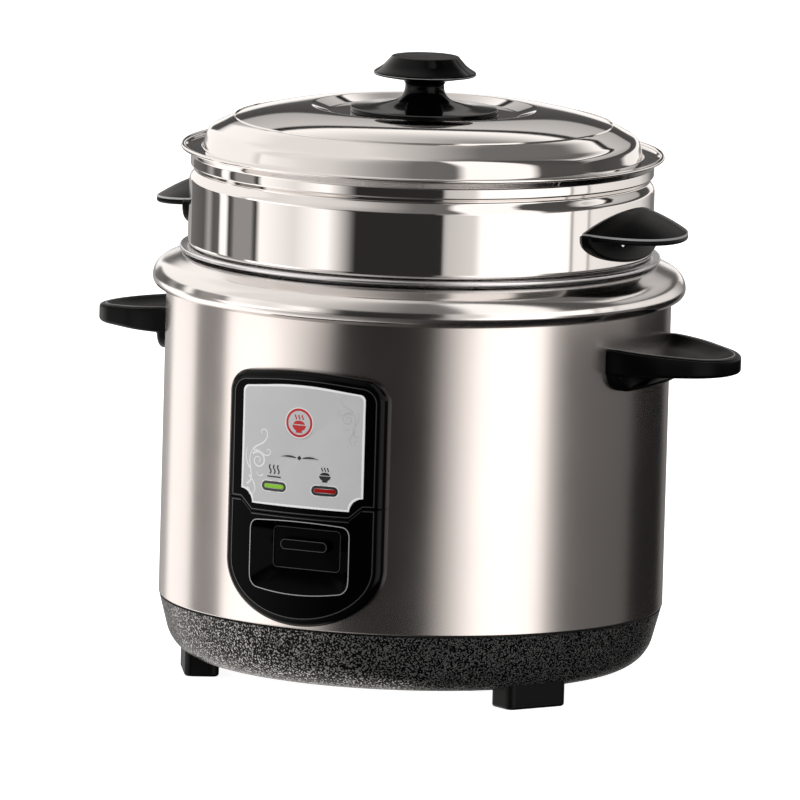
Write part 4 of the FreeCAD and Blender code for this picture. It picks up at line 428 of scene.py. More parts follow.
class Surface:
    """Vertices and faces of one piece, gathered from lofted grids."""

    def __init__(self) -> None:
        """Start with nothing."""
        self.points: list[np.ndarray] = []
        self.faces: list[list[int]] = []
        self.total = 0

    def loft(self, rings: np.ndarray, looped: bool = False, start_cap: bool = False,
             end_cap: bool = False, keep: np.ndarray | None = None) -> Surface:
        """Join closed rings of equal length by quads: ring i, point j to ring i + 1, point j + 1.

        Args:
            rings: Shape (k, n, 3), in millimetres.
            looped: Whether the last ring joins the first.
            start_cap: Whether a fan closes the first ring.
            end_cap: Whether a fan closes the last ring.
            keep: Optional mask of the quads that stay, shape (k - 1, n).

        Returns:
            This surface.
        """
        count, around = rings.shape[:2]
        grid = self.total + np.arange(count * around).reshape(count, around)
        self.points.append(rings.reshape(-1, 3))
        self.total += count * around
        rows = np.vstack([grid, grid[:1]]) if looped else grid
        low, high = rows[:-1], rows[1:]
        quads = np.stack([low, np.roll(low, -1, 1), np.roll(high, -1, 1), high], axis=-1)
        self.faces += (quads if keep is None else quads[keep]).reshape(-1, 4).tolist()
        for wanted, ring in ((start_cap, 0), (end_cap, -1)):
            if wanted:
                self.points.append(rings[ring].mean(0)[None])
                hub = np.full(around, self.total)
                self.faces += np.stack([grid[ring], np.roll(grid[ring], -1), hub], axis=-1).tolist()
                self.total += 1
        return self

    def piece(self, name: str, finish: Finish, body: str, nodes: Sequence[str] = (),
              crease: float = 50.0) -> bpy.types.Object:
        """Make the mesh, turn its faces outwards, dress it and let it ride.

        Args:
            name: Name of the piece.
            finish: Its material.
            body: CAD body that it rides on.
            nodes: CAD nodes that it stands for.
            crease: Edges sharper than this many degrees stay hard.

        Returns:
            The new object.
        """
        mesh = bpy.data.meshes.new(name)
        mesh.from_pydata((np.concatenate(self.points) * MM).tolist(), [], self.faces)
        work = bmesh.new()
        work.from_mesh(mesh)
        bmesh.ops.recalc_face_normals(work, faces=work.faces)
        work.to_mesh(mesh)
        work.free()
        mesh.shade_smooth()
        mesh.set_sharp_from_angle(angle=math.radians(crease))
        thing = placed(name, mesh)
        mesh.materials.append(finish.material())
        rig.ride(thing, body)
        if nodes:
            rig.replaces(thing, *nodes)
        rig.slot(thing, finish.slot)
        LOG.info("%s: %d faces on %s", name, len(mesh.polygons), body)
        return thing


# Finishes


class Nodes:
    """Short way to make and join the nodes of one tree."""

    def __init__(self, tree: bpy.types.NodeTree) -> None:
        """Keep the tree."""
        self.tree = tree

    def put(self, value: object, socket: bpy.types.NodeSocket) -> None:
        """Link an output to a socket, or set the socket to a number or colour.

        Args:
            value: Output, number or colour.
            socket: Input that gets it.
        """
        if isinstance(value, bpy.types.NodeSocket):
            self.tree.links.new(value, socket)
        else:
            socket.default_value = value

    def add(self, kind: str, **values: object) -> bpy.types.Node:
        """Add a node, setting sockets by name and other values as attributes.

        Args:
            kind: Node type.
            values: Socket names with underscores for spaces, i and a socket's number, or attributes of the node.

        Returns:
            The node.
        """
        node = self.tree.nodes.new(kind)
        for key, value in values.items():
            if hasattr(node, key):
                setattr(node, key, value)
                continue
            numbered = key[:1] == "i" and key[1:].isdigit()
            self.put(value, node.inputs[int(key[1:]) if numbered else key.replace("_", " ")])
        return node

    def math(self, operation: str, *values: object) -> bpy.types.NodeSocket:
        """Add a Math node.

        Args:
            operation: Blender's name of the operation.
            values: Its inputs, outputs of other nodes or numbers.

        Returns:
            Its output.
        """
        node = self.add("ShaderNodeMath", operation=operation)
        for socket, value in zip(node.inputs, values):
            self.put(value, socket)
        return node.outputs[0]

    def step(self, value: bpy.types.NodeSocket, start: float, end: float) -> bpy.types.NodeSocket:
        """Smooth step of a value from 0 at start to 1 at end, which may lie below start."""
        node = self.add("ShaderNodeMapRange", interpolation_type="SMOOTHSTEP", i0=value, i1=start, i2=end)
        return node.outputs[0]

    def ramp(self, factor: bpy.types.NodeSocket, stops: Sequence[tuple[float, Colour]]) -> bpy.types.NodeSocket:
        """Add a colour ramp.

        Args:
            factor: Socket that drives it.
            stops: (place, colour) in order.

        Returns:
            Its colour.
        """
        node = self.add("ShaderNodeValToRGB", Fac=factor)
        for index, (place, colour) in enumerate(stops):
            elements = node.color_ramp.elements
            element = elements[index] if index < 2 else elements.new(place)
            element.position = place
            element.color = (*colour, 1)
        return node.outputs["Color"]

    def mix(self, factor: object, first: object, second: object) -> bpy.types.NodeSocket:
        """Mix two colours.

        Args:
            factor: Share of the second, socket or number.
            first: Colour or socket.
            second: Colour or socket.

        Returns:
            The mixed colour.
        """
        node = self.add("ShaderNodeMix", data_type="RGBA")
        for socket, value in ((node.inputs[0], factor), (node.inputs[6], first), (node.inputs[7], second)):
            self.put((*value, 1) if isinstance(value, tuple) else value, socket)
        return node.outputs[2]


def blank_material(name: str) -> tuple[bpy.types.Material, Nodes]:
    """Start a material with an empty tree.

    Args:
        name: Its name.

    Returns:
        The material and its nodes.
    """
    made = bpy.data.materials.new(name)
    made.use_nodes = True
    made.node_tree.nodes.clear()
    return made, Nodes(made.node_tree)


def group_tree(name: str, inputs: Sequence[tuple[str, float]], outputs: Sequence[str]) -> tuple[Nodes, bool]:
    """Find or start a shader node group of numbers.

    Args:
        name: Group name.
        inputs: (name, default) of its number inputs.
        outputs: Names of its number outputs.

    Returns:
        Its nodes, and whether it is new and still has to be filled.
    """
    tree = bpy.data.node_groups.get(name)
    if tree:
        return Nodes(tree), False
    tree = bpy.data.node_groups.new(name, "ShaderNodeTree")
    for label, default in inputs:
        socket = tree.interface.new_socket(name=label, in_out="INPUT", socket_type="NodeSocketFloat")
        socket.default_value = default
    for label in outputs:
        tree.interface.new_socket(name=label, in_out="OUTPUT", socket_type="NodeSocketFloat")
    return Nodes(tree), True


def handled_gloss() -> bpy.types.NodeTree:
    """Group: roughness that wanders between two values, as on a wiped and handled surface.

    Returns:
        The group, with inputs Scale, Low and High and output Roughness.
    """
    nodes, new = group_tree("handled_gloss", [("Scale", 18.0), ("Low", 0.1), ("High", 0.2)], ["Roughness"])
    if new:
        inputs = nodes.add("NodeGroupInput")
        place = nodes.add("ShaderNodeTexCoord")
        noise = nodes.add("ShaderNodeTexNoise", Vector=place.outputs["Object"], Scale=inputs.outputs["Scale"],
                          Detail=4.0, Roughness=0.6)
        spread = nodes.add("ShaderNodeMapRange", i0=noise.outputs["Fac"], i1=0.32, i2=0.68,
                           i3=inputs.outputs["Low"], i4=inputs.outputs["High"])
        nodes.add("NodeGroupOutput", Roughness=spread.outputs[0])
    return nodes.tree


def spun_grain() -> bpy.types.NodeTree:
    """Group: fine lines that run round Z, as spinning or brushing leaves them.

    The pattern is noise over (height, a little of the angle), so it is long round the piece and short up it.

    Returns:
        The group, with inputs Fineness and Stretch and output Height.
    """
    nodes, new = group_tree("spun_grain", [("Fineness", 2600.0), ("Stretch", 6.0)], ["Height"])
    if new:
        inputs = nodes.add("NodeGroupInput")
        place = nodes.add("ShaderNodeTexCoord")
        parts = nodes.add("ShaderNodeSeparateXYZ", Vector=place.outputs["Object"])
        angle = nodes.math("ARCTAN2", parts.outputs["Y"], parts.outputs["X"])
        along = nodes.math("MULTIPLY", angle, inputs.outputs["Stretch"])
        across = nodes.math("MULTIPLY", parts.outputs["Z"], inputs.outputs["Fineness"])
        joined = nodes.add("ShaderNodeCombineXYZ", X=along, Y=across)
        noise = nodes.add("ShaderNodeTexNoise", Vector=joined.outputs[0], Scale=1.0, Detail=3.0, Roughness=0.65)
        nodes.add("NodeGroupOutput", Height=noise.outputs["Fac"])
    return nodes.tree


def leather_grain() -> bpy.types.NodeTree:
    """Group: coarse moulded grain of worm-like crests with creases between them.

    One octave of slightly distorted noise gives the hills, and the parts of it above its middle are the crests.

    Returns:
        The group, with input Scale and outputs Height, from crease to crest, and Crest, a harder mask of it.
    """
    nodes, new = group_tree("leather_grain", [("Scale", 520.0)], ["Height", "Crest"])
    if new:
        inputs = nodes.add("NodeGroupInput")
        place = nodes.add("ShaderNodeTexCoord")
        cells = nodes.add("ShaderNodeTexNoise", Vector=place.outputs["Object"], Scale=inputs.outputs["Scale"],
                          Detail=0.0, Distortion=0.5)
        hills = nodes.step(cells.outputs["Fac"], 0.36, 0.64)
        crest = nodes.step(cells.outputs["Fac"], 0.49, 0.72)
        nodes.add("NodeGroupOutput", Height=hills, Crest=crest)
    return nodes.tree


@dataclass(frozen=True)
class Finish:
    """A material: one Principled shader whose roughness wanders, with an optional grain."""

    name: str
    slot: str
    colour: Colour
    rough: tuple[float, float]
    metallic: float = 0.0
    patch: float = 18.0
    specular: float = 0.5
    tint: Colour | None = None
    tint_scale: float = 9.0

    def material(self) -> bpy.types.Material:
        """Find or build the material.

        Returns:
            The material, one for all the pieces of this finish.
        """
        title = f"{self.name}_finish"
        found = bpy.data.materials.get(title)
        if found:
            return found
        made, nodes = blank_material(title)
        shader = nodes.add("ShaderNodeBsdfPrincipled", Metallic=self.metallic, Base_Color=(*self.colour, 1))
        shader.inputs["Specular IOR Level"].default_value = self.specular
        gloss = nodes.add("ShaderNodeGroup", node_tree=handled_gloss(), Scale=self.patch, Low=self.rough[0],
                          High=self.rough[1])
        nodes.put(gloss.outputs["Roughness"], shader.inputs["Roughness"])
        if self.tint:
            place = nodes.add("ShaderNodeTexCoord")
            cloud = nodes.add("ShaderNodeTexNoise", Vector=place.outputs["Object"], Scale=self.tint_scale, Detail=5.0)
            soft = nodes.add("ShaderNodeMapRange", i0=cloud.outputs["Fac"], i1=0.35, i2=0.65)
            nodes.put(nodes.mix(soft.outputs[0], self.colour, self.tint), shader.inputs["Base Color"])
        self.grain(nodes, shader)
        nodes.add("ShaderNodeOutputMaterial", Surface=shader.outputs["BSDF"])
        return made

    def grain(self, nodes: Nodes, shader: bpy.types.Node) -> None:
        """Add what stands on top of the plain finish; a plain finish has nothing."""

    def bump(self, nodes: Nodes, shader: bpy.types.Node, height: bpy.types.NodeSocket, strength: float,
             distance: float) -> None:
        """Feed a height to the shader's normal, with a strength from 0 to 1 and a depth in millimetres."""
        bump = nodes.add("ShaderNodeBump", Height=height, Strength=strength, Distance=distance * MM)
        nodes.put(bump.outputs["Normal"], shader.inputs["Normal"])


@dataclass(frozen=True)
class SpunMetal(Finish):
    """Metal with fine lines round Z."""

    fineness: float = 2600.0
    depth: float = 0.004
    strength: float = 0.35

    def grain(self, nodes: Nodes, shader: bpy.types.Node) -> None:
        """Add the spun lines to the normal."""
        lines = nodes.add("ShaderNodeGroup", node_tree=spun_grain(), Fineness=self.fineness)
        self.bump(nodes, shader, lines.outputs["Height"], self.strength, self.depth)


@dataclass(frozen=True)
class MouldedGrain(Finish):
    """Plastic with a coarse leather grain, its crests rubbed paler and shinier than its creases."""

    cells: float = 520.0
    depth: float = 0.25
    rubbed: Colour = (0.05, 0.05, 0.051)
    shine: float = 0.0

    def grain(self, nodes: Nodes, shader: bpy.types.Node) -> None:
        """Add the grain to the normal, the colour and the metallic shine.

        Args:
            nodes: The material's nodes.
            shader: Its Principled shader.
        """
        pattern = nodes.add("ShaderNodeGroup", node_tree=leather_grain(), Scale=self.cells)
        self.bump(nodes, shader, pattern.outputs["Height"], 1.0, self.depth)
        colour = nodes.mix(pattern.outputs["Crest"], self.colour, self.rubbed)
        nodes.put(colour, shader.inputs["Base Color"])
        shining = nodes.math("MULTIPLY", pattern.outputs["Crest"], self.shine)
        nodes.put(shining, shader.inputs["Metallic"])


@dataclass(frozen=True)
class PrintedPlate(Finish):
    """Silver-grey print with a fine sparkle and a white border, from the mesh's border attribute."""

    border: Colour = (0.86, 0.86, 0.86)
    sparkle: float = 0.10
    shade: float = 0.88

    def grain(self, nodes: Nodes, shader: bpy.types.Node) -> None:
        """Add border and sparkle to the colour.

        Args:
            nodes: The material's nodes.
            shader: Its Principled shader.
        """
        place = nodes.add("ShaderNodeTexCoord")
        flakes = nodes.add("ShaderNodeTexNoise", Vector=place.outputs["Object"], Scale=3800.0, Detail=1.0)
        cloud = nodes.add("ShaderNodeTexNoise", Vector=place.outputs["Object"], Scale=22.0, Detail=3.0)
        light = nodes.math("MULTIPLY_ADD", flakes.outputs["Fac"], self.sparkle, cloud.outputs["Fac"])
        silver = nodes.ramp(light, [(0.35, tuple(self.shade * c for c in self.colour)), (0.8, self.colour)])
        edge = nodes.add("ShaderNodeAttribute", attribute_name="border")
        colour = nodes.mix(edge.outputs["Fac"], silver, self.border)
        nodes.put(colour, shader.inputs["Base Color"])


@dataclass(frozen=True)
class LampLens(Finish):
    """Clear coloured plastic that glows a little from the lamp behind it."""

    glow: float = 0.1

    def grain(self, nodes: Nodes, shader: bpy.types.Node) -> None:
        """Let the lens glow."""
        shader.inputs["Emission Color"].default_value = (*self.colour, 1)
        shader.inputs["Emission Strength"].default_value = self.glow


SATIN_STEEL = SpunMetal("satin_steel", "satin_steel", (0.66, 0.615, 0.59), (0.17, 0.23), 1.0, 7.0, fineness=2200.0)
POLISHED_STEEL = SpunMetal("polished_steel", "polished_steel", (0.76, 0.73, 0.71), (0.035, 0.07), 1.0, 11.0,
                           fineness=1500.0, depth=0.0015)
RING_STEEL = SpunMetal("ring_steel", "polished_steel", (0.76, 0.73, 0.71), (0.13, 0.19), 1.0, 11.0, fineness=1500.0,
                       depth=0.0015)
POT_ALUMINIUM = SpunMetal("pot_aluminium", "pot_aluminium", (0.74, 0.74, 0.75), (0.2, 0.34), 1.0, 14.0, depth=0.01)
LINER_STEEL = Finish("liner_steel", "liner_steel", (0.6, 0.61, 0.62), (0.28, 0.46), 1.0, 30.0,
                     tint=(0.5, 0.51, 0.53), tint_scale=160.0)
BASE_PLASTIC = MouldedGrain("base_plastic", "base_plastic", (0.002, 0.002, 0.0021), (0.16, 0.24), cells=1080.0,
                            depth=0.05, specular=0.08, rubbed=(0.38, 0.375, 0.37), shine=0.98)
FOOT_PLASTIC = MouldedGrain("foot_plastic", "base_plastic", (0.004, 0.004, 0.0042), (0.3, 0.45), cells=1400.0,
                            depth=0.03, specular=0.12, rubbed=(0.006, 0.006, 0.0062))
GLOSS_BLACK = Finish("gloss_black", "gloss_black", (0.0012, 0.0012, 0.0013), (0.07, 0.13), 0.0, 26.0, specular=0.11)
HANDLE_BLACK = Finish("handle_black", "gloss_black", (0.0012, 0.0012, 0.0013), (0.27, 0.35), 0.0, 26.0, specular=0.06)
PANEL_EDGE = Finish("panel_edge", "gloss_black", (0.001, 0.001, 0.0011), (0.07, 0.13), 0.0, 26.0, specular=0.1)
PANEL_BLACK = Finish("panel_black", "gloss_black", (0.0008, 0.0008, 0.0009), (0.16, 0.26), 0.0, 26.0, specular=0.03)
# Pale finishes for fine bands laid along edges: painted highlights that stand in for the light the edges catch, the
# second one fainter for dimmer edges.
PAINTED_EDGE_HIGHLIGHT = Finish("edge_light", "gloss_black", (0.38, 0.38, 0.385), (0.3, 0.4), tint=(0.3, 0.3, 0.305))
FAINT_PAINTED_HIGHLIGHT = Finish("edge_faint", "gloss_black", (0.05, 0.05, 0.051), (0.3, 0.4), tint=(0.03, 0.03, 0.031))
LABEL_SILVER = PrintedPlate("label_silver", "label_silver", (0.56, 0.56, 0.57), (0.3, 0.42))
LABEL_WHITE = Finish("label_white", "label_silver", (0.80, 0.80, 0.80), (0.35, 0.45), tint=(0.74, 0.74, 0.75))
LABEL_GREY = Finish("label_grey", "label_silver", (0.44, 0.44, 0.45), (0.35, 0.45), tint=(0.48, 0.48, 0.49))
LABEL_RED = Finish("label_red", "label_silver", (0.52, 0.012, 0.012), (0.3, 0.4), tint=(0.46, 0.01, 0.012))
LABEL_INK = Finish("label_ink", "label_silver", (0.012, 0.012, 0.013), (0.3, 0.4), tint=(0.02, 0.02, 0.021))
LENS_GREEN = LampLens("lens_green", "lens_green", (0.20, 0.46, 0.02), (0.08, 0.14), specular=0.25,
                      tint=(0.27, 0.55, 0.04))
LENS_RED = LampLens("lens_red", "lens_red", (0.24, 0.003, 0.003), (0.08, 0.14), specular=0.2,
                    tint=(0.3, 0.006, 0.005))
LAMP_GLASS = Finish("lamp_glass", "lamp_glass", (0.8, 0.78, 0.74), (0.05, 0.1))
INNER_PLASTIC = MouldedGrain("inner_plastic", "inner_plastic", (0.008, 0.008, 0.0084), (0.3, 0.45), cells=1200.0,
                             depth=0.03, rubbed=(0.016, 0.016, 0.0165))
FASTENER_STEEL = Finish("fastener_steel", "fastener_steel", (0.58, 0.58, 0.57), (0.22, 0.36), 1.0, 120.0)
WORKS_STEEL = Finish("works_steel", "works_steel", (0.6, 0.59, 0.56), (0.26, 0.42), 1.0, 60.0, tint=(0.5, 0.49, 0.46),
                     tint_scale=60.0)
DARK_CERAMIC = Finish("dark_ceramic", "dark_ceramic", (0.07, 0.068, 0.065), (0.5, 0.7), tint=(0.1, 0.095, 0.09),
                      tint_scale=300.0)
PIN_BRASS = Finish("pin_brass", "pin_brass", (0.72, 0.56, 0.28), (0.18, 0.32), 1.0, 90.0)
SLEEVE_WHITE = Finish("sleeve_white", "sleeve_white", (0.7, 0.68, 0.62), (0.5, 0.65), tint=(0.62, 0.6, 0.55),
                      tint_scale=200.0)
PLAIN_FINISHES = (SATIN_STEEL, POLISHED_STEEL, POT_ALUMINIUM, LINER_STEEL, BASE_PLASTIC, GLOSS_BLACK, LABEL_SILVER,
                  LENS_GREEN, LENS_RED, LAMP_GLASS, INNER_PLASTIC, FASTENER_STEEL, WORKS_STEEL, DARK_CERAMIC,
                  PIN_BRASS, SLEEVE_WHITE)


# Casing


@dataclass(frozen=True)
class Casing:
    """Straight steel wall, flared ring and grained base."""

    radius: float = 130.0
    wall: float = 0.8
    rows: tuple[float, float, float] = (86.0, 146.0, 174.0)
    foot: float = 9.3
    base_slope: float = 8.0
    base_round: float = 20.0
    base_wall: float = 2.5
    base_opening: float = 97.4
    ring_lip: float = 199.2
    ring_top: float = 219.3
    ring_inner: float = 120.4
    ring_outer: float = 137.18
    ring_skirt: float = 11.0
    ring_wall: float = 1.0
    ring_lap: float = 7.0
    gap: tuple[float, float] = (39.9, 41.1)
    window_half: float = 28.6
    window: tuple[float, float] = (58.3, 120.8)
    inlet_half: float = 15.1
    inlet: tuple[float, float] = (48.7, 70.9)

    def build(self) -> None:
        """Build wall, ring and base."""
        self.shell()
        self.ring()
        self.base()

    def shell(self) -> None:
        """Steel wall, open behind the panel and at the power inlet.

        Radius over height, carried round Z; the quads inside the two openings are left out.
        """
        low, high = self.gap[1], self.ring_lip + self.ring_lap
        height = np.unique(np.array([low, low + 0.25, low + 0.6, *self.window, *self.inlet, *self.rows, high]))
        edge = np.where(height == low, 0.2, 0.0)
        edges = np.arcsin(np.array([self.window_half, self.inlet_half]) / self.radius)
        even = np.linspace(-math.pi, math.pi, TURN_SEGMENTS, endpoint=False)
        window = np.array([-edges[0], edges[0]]) - QUARTER
        inlet = np.array([-edges[1], edges[1]]) + QUARTER
        angle = np.unique(np.concatenate([even, window, inlet]))
        middle = (angle + np.roll(angle, -1)) / 2
        level = (height[:-1] + height[1:]) / 2
        hole = self.hole(middle, level, -QUARTER, edges[0], self.window)
        hole |= self.hole(middle, level, QUARTER, edges[1], self.inlet)
        outer = self.cylinder(self.radius - edge, height, angle)
        inner = self.cylinder(self.radius - self.wall + 0 * edge, height, angle)
        surface = Surface().loft(outer, keep=~hole).loft(inner[::-1], keep=~hole[::-1])
        surface.piece("shell_wall", SATIN_STEEL, ROOT, ["body_shell"])

    @staticmethod
    def cylinder(radius: np.ndarray, height: np.ndarray, angle: np.ndarray) -> np.ndarray:
        """Rings of (r cos t, r sin t, z)."""
        return np.stack([radius[:, None] * np.cos(angle), radius[:, None] * np.sin(angle),
                         height[:, None] + 0 * angle], axis=-1)

    @staticmethod
    def hole(angle: np.ndarray, level: np.ndarray, middle: float, half: float,
             span: tuple[float, float]) -> np.ndarray:
        """Mask of the quads inside one opening.

        Args:
            angle: Middle angles of the quads.
            level: Middle heights of the quads.
            middle: Angle of the opening's middle.
            half: Half its angle.
            span: Its lowest and highest point.

        Returns:
            Mask of shape (len(level), len(angle)).
        """
        across = np.abs(np.angle(np.exp(1j * (angle - middle)))) < half
        return np.outer((level > span[0]) & (level < span[1]), across)

    def ring(self) -> None:
        """Polished ring: lip, side, shoulder and the skirt round the pot chamber."""
        section = sheet_section([
            (self.radius + 0.6, self.ring_lip, 0), (self.ring_outer, self.ring_lip + 2.6, 5),
            (self.ring_outer, self.ring_lip + 12.6, 10), (self.ring_inner, self.ring_top, 1.6),
            (self.ring_inner, self.ring_top - self.ring_skirt, 0),
        ], self.ring_wall, 1.5)
        Surface().loft(turned(section), looped=True).piece("polished_ring", RING_STEEL, ROOT, ["top_ring"])

    def base(self) -> None:
        """Tapered base with a wide round below, and a dark lip inside the shell, set behind the gap under the shell as
        painted shade so that the seam shows as a dark line.
        """
        top, high = self.radius - 0.5, self.gap[0]
        section = sheet_section([(top, high, 0), (top - self.base_slope, self.foot, self.base_round),
                                 (self.base_opening, self.foot, 0)], -self.base_wall, 2.0)
        Surface().loft(turned(section), looped=True).piece("grained_base", BASE_PLASTIC, ROOT, ["base_skirt"])
        # Painted shade: a dark lip behind the gap between shell and base, so that the seam shows as a dark line.
        inner, outer = top - 2.2, top - 0.8
        lip = np.array([(inner, high - 1.5), (outer, high - 0.1), (outer, high + 3.0), (inner, high + 3.0)])
        Surface().loft(turned(lip), looped=True).piece("base_lip", INNER_PLASTIC, ROOT)


@dataclass(frozen=True)
class SideHandle:
    """Tongue handle with a dished top and a pad on the shell."""

    side: Side
    shell: float = 130.0
    root: float = 6.0
    top: float = 184.8
    reach: float = 49.6
    half: float = 38.5
    shoulder_share: float = 0.25
    tip_share: float = 0.45
    round_share: float = 0.95
    thick: float = 13.4
    under_round: float = 2.0
    edge_round: float = 1.6
    fall: float = 4.7
    rim: float = 4.0
    dish: float = 4.6
    dish_run: float = 16.0
    dish_rings: tuple[float, ...] = (5.5, 7.0, 9.0, 11.0, 13.0, 15.0, 17.0, 18.5, 20.0)
    pad_drop: float = 9.0
    pad_slope: float = 3.8
    pad_corner: float = 11.5
    pad_thick: float = 7.0
    pad_round: float = 2.5

    def plan(self, inset: float) -> np.ndarray:
        """Closed plan of the tongue, moved inwards, read at fixed angles so that plans pair up.

        Args:
            inset: Distance inside the outer plan.

        Returns:
            Points of shape (n, 2).
        """
        reach, half = self.reach - inset, self.half - inset
        side_run, tip_half = self.shoulder_share * reach, self.tip_share * half
        shoulder, tip, start = self.shell + side_run, self.shell + reach, self.shell - self.root
        slant = math.atan2(half - tip_half, tip - shoulder)
        tip_round = self.round_share * tip_half / math.tan((QUARTER - slant) / 2)
        side_round = self.round_share * side_run / math.tan(slant / 2)
        root = start + 0.2 * inset
        corners = [(root, -half, 0), (shoulder, -half, side_round), (tip, -tip_half, tip_round),
                   (tip, tip_half, tip_round), (shoulder, half, side_round), (root, half, 0)]
        outline = rounded_path(corners, True, 24)
        centre = (self.shell + 8, 0.0)
        angles = shared_angles([np.array([(start, -self.half), (start, self.half)])], centre, 160)
        return at_angles(outline, centre, angles)

    def hollow(self, inset: float) -> float:
        """Depth of the dish at a distance inside the plan: a parabola that levels off inside the rim."""
        share = min(1.0, max(0.0, (inset - self.rim) / self.dish_run))
        return self.dish * (1 - (1 - share) ** 2)

    def build(self) -> None:
        """Loft the tongue from its underside over the rim into the dish, and add the pad; pale bands along the rim and
        the outer edge are painted highlights.

        Each ring is the plan moved inwards; its height follows a quarter circle at the edges and the dish inside.
        """
        low = self.top - self.thick
        rings = [(inset, low, False) for inset in (14.0, 8.0)]
        rings += [(inset, low + short, False) for inset, short in reversed(quarter_round(self.under_round, 7))]
        rings += [(inset, self.top - short, False) for inset, short in quarter_round(self.edge_round, 7)]
        rings += [(self.rim - 0.7, self.top, False), (self.rim - 0.2, self.top - 0.12, False),
                  (self.rim + 0.1, self.top - 0.3, True)]
        rings += [(inset, self.top, True) for inset in (self.rim + 0.5, *self.dish_rings)]
        stack = np.array([self.ring(*ring) for ring in rings])
        surface = Surface().loft(stack, start_cap=True, end_cap=True)
        surface.loft(self.pad(low), start_cap=True, end_cap=True)
        surface.points = [points * self.side.turn for points in surface.points]
        name = self.side.name.lower()
        surface.piece(f"side_handle_{name}", HANDLE_BLACK, ROOT, [f"handle_{name}"])
        # Painted highlights: a pale band along the dish's rim and a fainter one along the outer edge.
        for word, inset, drop, finish in (("rim", self.rim - 0.7, 0.0, PAINTED_EDGE_HIGHLIGHT), ("edge", 0.25, 0.75, FAINT_PAINTED_HIGHLIGHT)):
            band = np.array([self.ring(inset + width, self.top - drop, False) + np.array([0, 0, lift])
                             for width, lift in ((0, -0.15), (0, 0.06), (0.5, 0.06), (0.5, -0.15))])
            surface = Surface().loft(band * self.side.turn, looped=True)
            surface.piece(f"side_handle_{word}_line_{name}", finish, ROOT)

    def ring(self, inset: float, height: float, dished: bool) -> np.ndarray:
        """One ring of the tongue.

        Args:
            inset: Distance inside the plan.
            height: Height of the ring.
            dished: Whether the ring lies in the dish.

        Returns:
            Points of shape (n, 3).
        """
        plan = self.plan(inset)
        drop = self.hollow(inset) if dished else 0.0
        tilt = self.fall * np.clip((plan[:, 0] - self.shell) / self.reach, 0, 1) if height > self.top - 2 else 0.0
        return np.column_stack([plan, height - drop - tilt + 0 * plan[:, 0]])

    def pad(self, low: float) -> np.ndarray:
        """Pad between tongue and shell.

        Args:
            low: Height of the tongue's underside.

        Returns:
            Rings of shape (k, n, 3).
        """
        foot, narrow = low - self.pad_drop, self.half - self.pad_slope
        corners = [(-self.half, low + 2, 0), (self.half, low + 2, 0), (narrow, foot, self.pad_corner),
                   (-narrow, foot, self.pad_corner)]
        outline = divided(rounded_path(corners, True, 10), 2.0, True)
        return pad_rings(outline, self.shell - 1.0, self.shell + self.pad_thick, self.pad_round)


# Front panel


def on_cylinder(outline: np.ndarray, radius: np.ndarray | float) -> np.ndarray:
    """Lay (x, z) points on the front of an upright cylinder: y = -sqrt(radius^2 - x^2)."""
    depth = -np.sqrt(np.square(radius) - outline[:, 0] ** 2)
    return np.column_stack([outline[:, 0], depth, outline[:, 1]])


# Plate behind the opening, finger bar, tail and the tail's web: width, lowest, highest, back, front, edge radius.
KEY_SLABS = (
    (43.5, 68.1, 101.1, -122.6, -124.6, 0.4), (27.0, 80.85, 86.75, -124.4, -129.1, 1.1),
    (14.0, 24.2, 71.1, -114.6, -117.6, 0.3), (14.0, 68.2, 71.0, -114.8, -122.8, 0.3),
)


